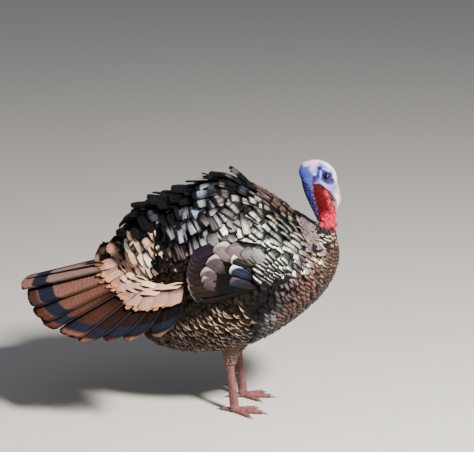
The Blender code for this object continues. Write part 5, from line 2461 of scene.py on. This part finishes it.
@dataclass
class Bill:
    """Both halves of the bill."""

    def build(self) -> list[bpy.types.Object]:
        """Meshes the horn. Returns: upper and lower half."""
        matrix = head_matrix()
        upper = HornFinish("bill_horn", (0.70, 0.58, 0.54), (0.085, 0.085, 0.24)).build()
        lower = HornFinish("bill_lower_horn", (0.16, 0.12, 0.13), (0.030, 0.018, 0.026)).build()
        made = []
        for name, rows, power, finish in (
            ("bill_upper", UPPER_BILL, 1.8, upper),
            ("bill_lower", LOWER_BILL, 2.4, lower),
        ):
            rings = upright_rings(rows, 34, 32, power)
            points = rings.reshape(-1, 3)
            if name == "bill_upper":
                hole = np.hypot((points[:, 0] - 0.0505) / 1.9, points[:, 2] - 0.0040)
                points[:, 1] *= 1.0 - 0.16 * bump(hole, 0.0, 0.0016)
            share = smoothstep(0.042, 0.070, points[:, 0] - 0.25 * points[:, 2]) * 0.75 + 0.25
            # The lower bill keeps only its dark colour: painted shade under the upper bill.
            if name == "bill_lower":
                share = share * 0.0
            mesh = outward(make_mesh(name + "_horn", carried(matrix, points), loft_faces(34, 32)))
            piece = dressed(name + "_horn", mesh, share, finish, "horn")
            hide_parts(name)
            made.append(piece)
        return made


@dataclass
class Eyes:
    """Two glossy balls set deep between their lids."""

    def build(self) -> list[bpy.types.Object]:
        """Meshes the eyes. Returns: both."""
        matrix = head_matrix()
        finish = EyeFinish().build()
        made = []
        for side, sign in ((one.word, one.value) for one in Side):
            bm = bmesh.new()
            bmesh.ops.create_icosphere(bm, subdivisions=5, radius=EYE_RADIUS)
            mesh = bpy.data.meshes.new(f"eyeball_{side}")
            bm.to_mesh(mesh)
            bm.free()
            mesh.shade_smooth()
            place, _ = read_points(mesh)
            off = np.hypot(place[:, 0], place[:, 2]) / EYE_RADIUS
            off = np.where(place[:, 1] * sign < 0, 1.0, off)
            centre = np.array(EYE_SPOT) * np.array([1.0, sign, 1.0])
            write_points(mesh, carried(matrix, place + centre))
            piece = dressed(f"eyeball_{side}", mesh, off, finish, "eye")
            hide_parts(f"eye_{side}")
            made.append(piece)
        return made


@dataclass
class Leg(OneSide):
    """Shank, foot, claws and spur of one side; a lean shank over four toes."""

    voxel: float = 0.00085
    base_x: float = -0.006
    lean: float = 0.12
    spur_height: float = 0.060
    claw: float = 0.0135
    shank: tuple = (
        (0.004, 0.0090, 0.0090),
        (0.015, 0.0108, 0.0105),
        (0.030, 0.0100, 0.0086),
        (0.055, 0.0092, 0.0072),
        (0.100, 0.0094, 0.0076),
        (0.125, 0.0112, 0.0092),
        (0.145, 0.0122, 0.0098),
    )
    toes: tuple = (
        ("middle", 4.0, 0.064, 0.0072, 0.0050, 4),
        ("inner", -34.0, 0.050, 0.0064, 0.0046, 3),
        ("outer", 42.0, 0.052, 0.0064, 0.0046, 4),
        ("hind", 196.0, 0.034, 0.0056, 0.0042, 2),
    )

    def middle(self) -> Array:
        """Where the foot stands."""
        return np.array([self.base_x + FEET_X, self.sign * STANCE / 2, 0.0])

    def shank_rings(self) -> Array:
        """Level rings up the shank. Returns: them."""
        table = np.array(self.shank)
        height = np.linspace(0.004, 0.150, 50)
        depth = np.interp(height, table[:, 0], table[:, 1])
        half = np.interp(height, table[:, 0], table[:, 2])
        a, b = oval(28)
        x = (self.middle()[0] - self.lean * height)[:, None] + depth[:, None] * a
        y = self.sign * STANCE / 2 + half[:, None] * b
        return np.stack([x, y, np.repeat(height[:, None], 28, axis=1)], axis=-1)

    def along_toe(self, turn: float) -> tuple[Array, Array]:
        """Directions along and across a toe.

        Args:
            turn: degrees from straight ahead, outward.

        Returns:
            both.
        """
        angle = math.radians(turn)
        ahead = np.array([math.cos(angle), self.sign * math.sin(angle), 0.0])
        return ahead, np.array([-ahead[1], ahead[0], 0.0])

    def toe_rings(self, turn: float, length: float, root: float, tip: float, joints: int) -> Array:
        """Rings along a toe, thicker at each pad.

        Args:
            turn: degrees from straight ahead, outward.
            length: from the middle of the foot.
            root, tip: radius at both ends.
            joints: the number of pads.

        Returns:
            the rings.
        """
        ahead, across = self.along_toe(turn)
        share = np.linspace(0.0, 1.0, 40)
        radius = root + (tip - root) * share
        radius = radius * (1.0 + 0.09 * np.cos(share * 2 * math.pi * joints))
        radius = radius * np.sqrt(np.clip(1.0 - smoothstep(0.90, 1.06, share) ** 2, 0.1, 1.0))
        a, b = oval(20)
        line = self.middle() + ahead * (0.0015 + (length - 0.0015) * share)[:, None]
        level = root * 0.86 * (1 - share) + tip * 0.80 * share
        rings = line[:, None, :] + across * (radius[:, None] * a)[..., None]
        rings[..., 2] += level[:, None] + radius[:, None] * b
        rings[..., 2] = np.maximum(rings[..., 2], 0.0002)
        return rings

    def skin(self) -> bpy.types.Mesh:
        """Melts shank and toes and works the scales. Returns: the mesh."""
        flesh = Flesh(self.voxel)
        flesh.loft(self.shank_rings())
        for _, turn, length, root, tip, joints in self.toes:
            flesh.loft(self.toe_rings(turn, length, root, tip, joints))
        mesh = flesh.melt("leg_skin", 3)
        place, normal = read_points(mesh)
        middle = self.middle()
        height, gaps = np.zeros(len(place)), np.zeros(len(place))
        on_shank = smoothstep(0.016, 0.024, place[:, 2])
        front = smoothstep(-0.1, 0.5, normal[:, 0])
        scale = (place[:, 2] / 0.0062) % 1.0
        ridge = np.sqrt(np.clip(1 - (2 * scale - 1) ** 4, 0, 1))
        height += 0.00075 * ridge * on_shank * front
        gaps += (1 - ridge) * on_shank * front
        net = np.clip(cells(place, 300.0) / 0.5, 0, 1)
        height += 0.00045 * (1 - net) * on_shank * (1 - front)
        gaps += net**3 * on_shank * (1 - front) * 0.8
        best = np.full(len(place), 9.0)
        run = np.zeros(len(place))
        for _, turn, length, _, _, _ in self.toes:
            ahead, across = self.along_toe(turn)
            off = place - middle
            far = np.abs(off @ across) + np.where(off @ ahead < 0, 0.05, 0.0)
            closer = far < best
            best = np.where(closer, far, best)
            run = np.where(closer, off @ ahead, run)
        top = smoothstep(0.05, 0.5, normal[:, 2]) * (1 - on_shank)
        scale = (run / 0.0037) % 1.0
        ridge = np.sqrt(np.clip(1 - (2 * scale - 1) ** 4, 0, 1))
        height += 0.00060 * ridge * top
        gaps += (1 - ridge) * top
        moved = place + normal * height[:, None]
        moved[:, 2] = np.maximum(moved[:, 2], 0.0)
        write_points(mesh, moved)
        lump = speckle(place, 90.0, 9)[:, None]
        pale, dark = (0.190, 0.084, 0.078), (0.050, 0.020, 0.020)
        tone = mixed(pale, dark, np.clip(gaps, 0, 1) * 0.85)
        low = smoothstep(0.006, 0.001, place[:, 2]) * 0.5
        add_colour(mesh, "tint", np.clip(mixed(tone, dark, low) * (1 + 0.25 * lump), 0, 1))
        return mesh

    def horn(self) -> list[bpy.types.Object]:
        """Claws and spur. Returns: the pieces."""
        side = self.side.word
        finish = HornFinish(f"claw_horn_{side}", (0.16, 0.11, 0.09), (0.028, 0.020, 0.018)).build()
        made = []
        for name, turn, length, _, tip, _ in self.toes:
            ahead, across = self.along_toe(turn)
            share = np.linspace(0.0, 1.0, 16)
            radius = tip * 0.50 * (1 - 0.80 * share**1.2)
            line = self.middle() + ahead * (length - 0.003 + (self.claw + 0.003) * share)[:, None]
            level = np.maximum(tip * (0.95 - 0.86 * share**1.6), radius)
            a, b = oval(16)
            rings = line[:, None, :] + across * (radius[:, None] * a * 0.8)[..., None]
            rings[..., 2] += level[:, None] + radius[:, None] * b
            made.append(self.horn_piece(f"claw_{name}_{side}", rings, finish))
        start = np.array(
            [
                self.middle()[0] - self.lean * self.spur_height - 0.004,
                self.sign * (STANCE / 2 - 0.002),
                self.spur_height,
            ]
        )
        way = np.array([-0.0165, -self.sign * 0.006, 0.002])
        share = np.linspace(0.0, 1.0, 16)
        path = start + way * share[:, None] + np.array([0, 0, 0.0022]) * (share**2)[:, None]
        rings = tube_rings(path, 0.0042 * (1 - 0.88 * share**1.3), 16)
        made.append(self.horn_piece(f"spur_{side}", rings, finish))
        return made

    def horn_piece(self, name: str, rings: Array, finish: bpy.types.Material) -> bpy.types.Object:
        """One claw or spur, for the frame's own.

        Args:
            name: the node it stands for.
            rings: its rings from the root.
            finish: its material.

        Returns:
            the piece.
        """
        mesh = outward(
            make_mesh(name + "_horn", rings.reshape(-1, 3), loft_faces(*rings.shape[:2]))
        )
        share = np.repeat(np.linspace(1.0, 0.0, rings.shape[0]), rings.shape[1])
        piece = dressed(name + "_horn", mesh, share, finish, "claw_horn")
        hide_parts(name)
        return piece


@dataclass
class Skin:
    """The one skin: head, neck, trunk under the coat, legs and feet."""

    depth: float = 0.0075

    def under(
        self,
        name: str,
        surface: Surface,
        grid: tuple[float, int, int],
        depth: Callable[[Array], Array | float],
        colour: tuple[float, float, float],
    ) -> bpy.types.Mesh:
        """A closed body that lies under a surface.

        Args:
            name: the mesh's name.
            surface: what it lies under.
            grid: its last t, its rings and the points of a ring.
            depth: how deep it lies at each t.
            colour: its colour all over.

        Returns:
            The mesh, faces outward.
        """
        last, rings, around = grid
        lines = np.linspace(0.0, last, rings), np.linspace(0.0, 2 * math.pi, around, endpoint=False)
        t, a = (part.ravel() for part in np.meshgrid(*lines, indexing="ij"))
        place, _, _, normal = surface.frame(t, a)
        points = place - normal * np.broadcast_to(depth(t), t.shape)[:, None]
        mesh = outward(make_mesh(name, points, loft_faces(rings, around)))
        add_colour(mesh, "tint", np.tile(colour, (len(points), 1)))
        return mesh

    def trunk_depth(self, t: Array) -> Array:
        """How deep the trunk lies: deeper under the loose rump, less where the body ends."""
        depth = self.depth + 0.008 * smoothstep(5.0, 3.0, t)
        return np.minimum(depth, 0.45 * SmoothTable(BODY_RINGS)(t)[:, 4])

    def fused(self, parts: Sequence[bpy.types.Mesh]) -> bpy.types.Mesh:
        """The union of closed meshes, with nothing left inside it.

        Args:
            parts: closed meshes that overlap; they are used up.

        Returns:
            One closed mesh that keeps their colours.
        """
        scene = bpy.context.scene.collection.objects
        objects = []
        for part in parts:
            objects.append(bpy.data.objects.new(part.name, part))
            scene.link(objects[-1])
        for other in objects[1:]:
            union = objects[0].modifiers.new("union", "BOOLEAN")
            union.operation, union.solver, union.object = "UNION", "MANIFOLD", other
        graph = bpy.context.evaluated_depsgraph_get()
        whole = bpy.data.meshes.new_from_object(objects[0].evaluated_get(graph))
        for obj, part in zip(objects, parts):
            bpy.data.objects.remove(obj)
            bpy.data.meshes.remove(part)
        whole.name = "skin"
        whole.materials.clear()
        whole.shade_smooth()
        return whole

    def build(self, head: Head, legs: Sequence[Leg]) -> bpy.types.Object:
        """Fuses all flesh into one piece.

        Args:
            head: head and bare neck.
            legs: both legs.

        Returns:
            the piece.
        """
        trunk = self.under(
            "trunk_skin", Body(), (15.2, 130, 150), self.trunk_depth, (0.030, 0.022, 0.018)
        )
        thighs = [
            self.under(
                "thigh_skin", Thigh(leg.sign), (4.0, 30, 48), lambda t: 0.0030, (0.060, 0.040, 0.030)
            )
            for leg in legs
        ]
        parts = [head.mesh(), trunk, *(leg.skin() for leg in legs), *thighs]
        mesh = self.fused(parts)
        mesh.materials.append(SkinFinish().build())
        piece = placed("skin", mesh, "blue_skin")
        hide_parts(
            "head", "neck_bare", "caruncles", "snood", "neck_feathered", "trunk",
            "thigh_right", "thigh_left", "shank_right", "shank_left", "foot_right", "foot_left",
        )
        return piece


# ------------------------------------------------------------------ the stage
@dataclass
class Stage:
    """Pale floor, soft studio light and the camera."""

    aim: tuple[float, float, float] = (0.1312, 0.0, 0.426)
    azimuth: float = 10.0
    elevation: float = 14.0
    distance: float = 5.0
    lens: float = 167.1

    def light(self, name: str, place: tuple, size: float, power: float, colour: tuple) -> None:
        """A square area light that points at the bird.

        Args:
            name: its name.
            place: where it stands.
            size: its side in metres.
            power: in watts.
            colour: its colour.
        """
        lamp = bpy.data.lights.new(name, "AREA")
        lamp.size = size
        lamp.energy = power
        lamp.color = colour
        obj = bpy.data.objects.new(name, lamp)
        bpy.context.scene.collection.objects.link(obj)
        obj.location = place
        way = Vector((0.0, 0.0, 0.32)) - Vector(place)
        obj.rotation_euler = way.to_track_quat("-Z", "Y").to_euler()

    def build(self) -> None:
        """Puts floor, lights, world and camera in place."""
        corners = np.array([(-1, -1, 0), (1, -1, 0), (1, 1, 0), (-1, 1, 0)])
        mesh = make_mesh("floor", corners * FLOOR_REACH, [np.array([[0, 1, 2, 3]])])
        mesh.materials.append(FloorFinish().build())
        floor = bpy.data.objects.new("floor", mesh)
        bpy.context.scene.collection.objects.link(floor)
        self.light("key", (1.9, -1.9, 2.6), 0.55, 430.0, (1.0, 0.95, 0.88))
        self.light("fill", (-2.6, -2.4, 1.6), 2.0, 14.0, (0.85, 0.92, 1.0))
        world = bpy.data.worlds.new("studio")
        world.use_nodes = True
        world.node_tree.nodes["Background"].inputs["Color"].default_value = (0.80, 0.85, 0.92, 1.0)
        world.node_tree.nodes["Background"].inputs["Strength"].default_value = 0.20
        bpy.context.scene.world = world
        az, el = math.radians(self.azimuth), math.radians(self.elevation)
        back = Vector((math.sin(az) * math.cos(el), -math.cos(az) * math.cos(el), math.sin(el)))
        camera = bpy.data.cameras.new("camera")
        camera.lens = self.lens
        camera.clip_end = 60.0
        obj = bpy.data.objects.new("camera", camera)
        bpy.context.scene.collection.objects.link(obj)
        obj.location = Vector(self.aim) + back * self.distance
        obj.rotation_euler = (-back).to_track_quat("-Z", "Y").to_euler()
        bpy.context.scene.camera = obj


def main() -> None:
    """Builds the bird round its frame."""
    logging.basicConfig(level=logging.INFO, format="%(name)s: %(message)s")
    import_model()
    Stage().build()
    legs = [Leg(side) for side in Side]
    pieces = [Skin().build(Head(), legs)]
    pieces += Bill().build() + Eyes().build()
    for leg in legs:
        pieces += leg.horn()
        pieces.append(LegPlumage(leg.side).build())
        pieces += WingPlumage(leg.side).build()
    pieces += BodyPlumage().build()
    pieces += Tail().build()
    for piece in pieces:
        LOG.info("%s: %d faces", piece.name, len(piece.data.polygons))


if __name__ == "__main__":
    main()
